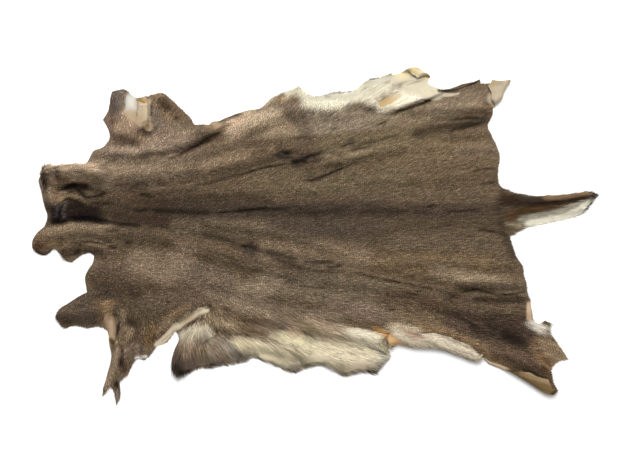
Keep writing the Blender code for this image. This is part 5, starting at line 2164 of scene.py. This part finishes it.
    def colour(self, mesh: bpy.types.Mesh, hair: Hair, number: int) -> None:
        """Gives each hair its own colour and its place on the piece's map.

        Args:
            mesh: the piece's mesh, hair after hair.
            hair: its kind.
            number: its plot, which sets its chances.
        """
        each = 3 * hair.segments + 1
        points = np.empty(len(mesh.vertices) * 3)
        mesh.vertices.foreach_get("co", points)
        points = points.reshape(-1, each, 3)
        count = len(points)
        edge = self.read(mesh, "edge", 1).reshape(-1, each)[:, 0] > 0.5
        roots = points[:, -3:].mean(axis=1)
        self.shorten(points, roots, ~edge)
        points[:, :, 2] = np.maximum(points[:, :, 2], self.lowest)
        mesh.vertices.foreach_set("co", points.ravel())
        ends = [seen(points[:, 0]), seen(roots)]
        up = self.read(mesh, "up", 3).reshape(-1, each, 3)[:, 0]

        chances = np.random.default_rng(SEED + number)
        luma = toned(0.5 * (ends[0] + ends[1]), COAT_GROUND, COAT_TONES, COAT_WANDER) @ LUMA
        pale = np.where(edge, 1.0, smooth((luma - PALE_FROM) / PALE_OVER))
        shorter = self.base_length - self.read(mesh, "hair_length", 1)[::each]
        calm = np.clip(shorter / self.calm_over, 0.0, 1.0)
        own = self.own_shade(hair.contrast, ends, pale, calm, chances)
        colours, tilts = zip(*(self.shaded(places, own, edge, pale) for places in ends))

        level = self.levels(hair.segments)[None, :, None]
        tint = mixed(colours, level)
        tint *= np.minimum(1.0, PALEST / np.maximum(tint.max(axis=2, keepdims=True), 1e-4))
        put(mesh, "tint", "FLOAT_COLOR", np.concatenate([tint, np.ones((count, each, 1))], axis=2))
        crimps = [rippled(places, CRIMP_RIPPLES, places[:, 0] / CRIMP_WAVE) for places in ends]
        phases = mixed(crimps, level[:, :, 0])
        put(mesh, "phase", "FLOAT", phases + self.crimp_chance * chances.normal(size=(count, 1)))

        facing = self.facing(points, up, edge, mixed(tilts, level))
        loose = self.loose_relief * (1.0 - self.calm_flatness * calm)
        facing += loose[:, None, None] * chances.normal(size=(count, 1, 3))
        facing /= np.linalg.norm(facing, axis=2, keepdims=True)
        self.lay_out(mesh, count, each)
        mesh.shade_smooth()
        mesh.normals_split_custom_set_from_vertices(facing.reshape(-1, 3).tolist())

    def own_shade(
        self, contrast: float, ends: list[Places], pale: Numbers, calm: Numbers, chances: np.random.Generator
    ) -> Numbers:
        """Works out each hair's own shade: its streak's, and a chance of its own.

        Args:
            contrast: how far the chances reach.
            ends: where the tips and the roots lie.
            pale: how pale the coat is at each hair, from 0 to 1.
            calm: how even it is there, from 0 to 1.
            chances: the piece's random numbers.

        Returns:
            What each hair's red, green and blue are multiplied by.
        """
        count = len(pale)
        streaks = rippled(ends[0], TIP_STREAKS, rippled(ends[1], ROOT_STREAKS))
        spread = contrast * (1.0 - self.pale_evenness * pale)
        spread = spread * np.minimum(chances.normal(size=count), self.brightest_chance)
        spread *= 1.0 - self.calm_evenness * calm
        own = np.exp(streaks * (1.0 - self.pale_streaks * pale) + spread)[:, None]
        return own * (1.0 + chances.normal(size=(count, 1)) * TINGE * (1.0 - pale)[:, None])

    def shaded(self, places: Places, own: Numbers, edge: Numbers, pale: Numbers) -> tuple[Numbers, Numbers]:
        """Colours one end of every blade by the tables, with painted shade in the fine creases that it lies
        in and painted light on their ridges, and tilts it by them.

        Args:
            places: where the ends lie.
            own: each hair's own shade.
            edge: which hairs stand on a turned edge.
            pale: how pale the coat is at each hair, from 0 to 1.

        Returns:
            The ends' red, green and blue, and their slopes along the back and across it.
        """
        dark, deep = creased(places)
        steps = self.tilt_step * np.eye(2)
        slope = np.stack([(creased(places + step)[1] - deep) / self.tilt_step for step in steps], axis=1)
        fur = toned(places, COAT_GROUND, COAT_TONES, COAT_WANDER) * FUR_GAIN
        skin = toned(places, EDGE_GROUND, SKIN_TONES, EDGE_WANDER) * EDGE_GAIN
        # Painted shade in the creases, milder on pale coat and on turned edges.
        steep = np.where(edge, BARE_STEEP, FUR_STEEP + (BARE_STEEP - FUR_STEEP) * pale)
        colour = np.where(edge[:, None], skin, fur) * own * crease_shade(dark, steep)[:, None]
        return colour, np.where(edge[:, None], 0.0, slope * self.fine_relief)

    def facing(self, points: Numbers, up: Numbers, edge: Numbers, tilt: Numbers) -> Numbers:
        """Turns the blades' shading as the skin's folds and creases turn, and round each blade.

        Args:
            points: the blades' points.
            up: which way the skin faces at each hair.
            edge: which hairs stand on a turned edge.
            tilt: each point's slope in the creases.

        Returns:
            Which way each point faces, not yet of unit length.
        """
        each = points.shape[1]
        facing = np.repeat(up[:, None, :], each, axis=1)
        facing[:, :, :2] *= np.where(edge, self.edge_relief, self.fold_relief)[:, None, None]
        facing[:, :, :2] += tilt
        for ring in range(1, each, 3):
            part = points[:, ring : ring + 3]
            away = part - part.mean(axis=1, keepdims=True)
            away /= np.maximum(np.linalg.norm(away, axis=2, keepdims=True), 1e-7)
            facing[:, ring : ring + 3] += self.blade_relief * away
        return facing

    def shorten(self, points: Numbers, roots: Numbers, cut: Numbers) -> None:
        """Cuts hair that would lie over bare skin, or across a crease from beside it.

        Args:
            points: the blades' points, which are moved.
            roots: where the blades stand.
            cut: which of them may be cut.
        """
        reach = points[:, 0] - roots
        share = np.ones(len(points))
        clear = creased(seen(roots))[0] < self.clear_below
        for part in self.cut_to:
            places = seen(roots + part * reach)
            over_bare = bareness(places) > self.bare_below
            stopped = (creased(places)[0] > self.cut_from) & clear | over_bare
            share[stopped & cut] = part
        held = roots[:, None]
        points[:, :-3] = held + (points[:, :-3] - held) * share[:, None, None]

    @staticmethod
    def read(mesh: bpy.types.Mesh, name: str, width: int) -> Numbers:
        """Reads what the growing stored on a mesh.

        Args:
            mesh: the mesh.
            name: the attribute's name.
            width: how many numbers it has for each point, 1 or 3.

        Returns:
            Its numbers in one row.
        """
        values = np.empty(len(mesh.vertices) * width)
        mesh.attributes[name].data.foreach_get("vector" if width == 3 else "value", values)
        return values

    @staticmethod
    def levels(segments: int) -> Numbers:
        """How far up the blade each of its points is: the tip first, then ring by ring to its foot."""
        return np.append(1.0, np.repeat(np.linspace(1.0, 0.0, segments + 1)[1:], 3))

    def lay_out(self, mesh: bpy.types.Mesh, count: int, each: int) -> None:
        """Gives every hair a cell of the piece's map, its root at the cell's foot.

        Args:
            mesh: the piece's mesh.
            count: how many hairs it has.
            each: how many points a hair has.
        """
        side = math.ceil(math.sqrt(count))
        level = self.levels(each // 3)
        across = np.append(0.0, np.tile((-CELL_HALF, CELL_HALF, 0.0), each // 3)) * (1.0 - level)
        lift = np.append(0.0, np.tile((0.0, 0.0, CELL_BACK), each // 3))
        cell = np.arange(count)
        u = (cell % side)[:, None] + 0.5 + across
        v = (cell // side)[:, None] + CELL_FOOT + CELL_HEIGHT * level + lift
        spots = np.stack([u, v], axis=2).reshape(-1, 2) / side
        corners = np.empty(len(mesh.loops), int)
        mesh.loops.foreach_get("vertex_index", corners)
        chart = mesh.uv_layers.get(MAP_NAME) or mesh.uv_layers.new(name=MAP_NAME)
        chart.uv.foreach_set("vector", spots[corners].ravel())


@dataclass
class Studio:
    """A pale floor, soft light from the animal's right side and above, and the camera."""

    floor_size: float = 14.0
    floor_white: float = 0.9
    floor_dull: float = 0.9
    world_strength: float = 0.64
    key_power: float = 202.0
    key_place: tuple[float, float, float] = (0.0, 2.1, 2.9)
    key_size: float = 3.6
    camera_tilt: float = math.radians(24)
    lens: float = 31.38
    film: float = 36.0

    def build(self) -> None:
        """Makes the floor, the lights and the camera."""
        scene = bpy.context.scene
        scene.view_settings.view_transform = "Standard"
        half = self.floor_size / 2
        mesh = bpy.data.meshes.new("floor")
        corners = [(-half, -half, 0), (half, -half, 0), (half, half, 0), (-half, half, 0)]
        mesh.from_pydata(corners, [], [(0, 1, 2, 3)])
        floor = named_object("floor", mesh)
        material, _, shader = shader_graph("pale_floor")
        white = self.floor_white
        shader.inputs["Base Color"].default_value = (white, white, white, 1.0)
        shader.inputs["Roughness"].default_value = self.floor_dull
        shader.inputs["Specular IOR Level"].default_value = 0.0
        mesh.materials.append(material)

        world = bpy.data.worlds.new("studio")
        world.use_nodes = True
        world.node_tree.nodes["Background"].inputs["Color"].default_value = (1.0, 1.0, 1.0, 1.0)
        world.node_tree.nodes["Background"].inputs["Strength"].default_value = self.world_strength
        scene.world = world

        light = bpy.data.lights.new("key", "AREA")
        light.energy = self.key_power
        light.size = self.key_size
        key = bpy.data.objects.new("key", light)
        key.location = self.key_place
        key.rotation_euler = (-Vector(self.key_place)).to_track_quat("-Z", "Y").to_euler()
        scene.collection.objects.link(key)

        camera = bpy.data.cameras.new("camera")
        camera.lens = self.lens
        camera.sensor_width = self.film
        holder = bpy.data.objects.new("camera", camera)
        holder.location = CAMERA_PLACE
        holder.rotation_euler = (self.camera_tilt, 0.0, 0.0)
        scene.collection.objects.link(holder)
        scene.camera = holder


def main() -> None:
    """Builds the pelt and the studio round it."""
    logging.basicConfig(level=logging.INFO, format="%(message)s")
    Studio().build()
    skin = Skin()
    skin.cut()
    hide = skin.build()
    hide.data.materials.append(HideFinish().material())
    log.info("%s: %d faces", hide.name, len(hide.data.polygons))
    fur = Fur(skin)
    fur.grow()
    for piece in fur.pieces:
        log.info("%s: %d faces", piece.name, len(piece.data.polygons))
    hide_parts("pelt")
    for piece in [hide, *fur.pieces]:
        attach(piece, "root")


if __name__ == "__main__":
    main()
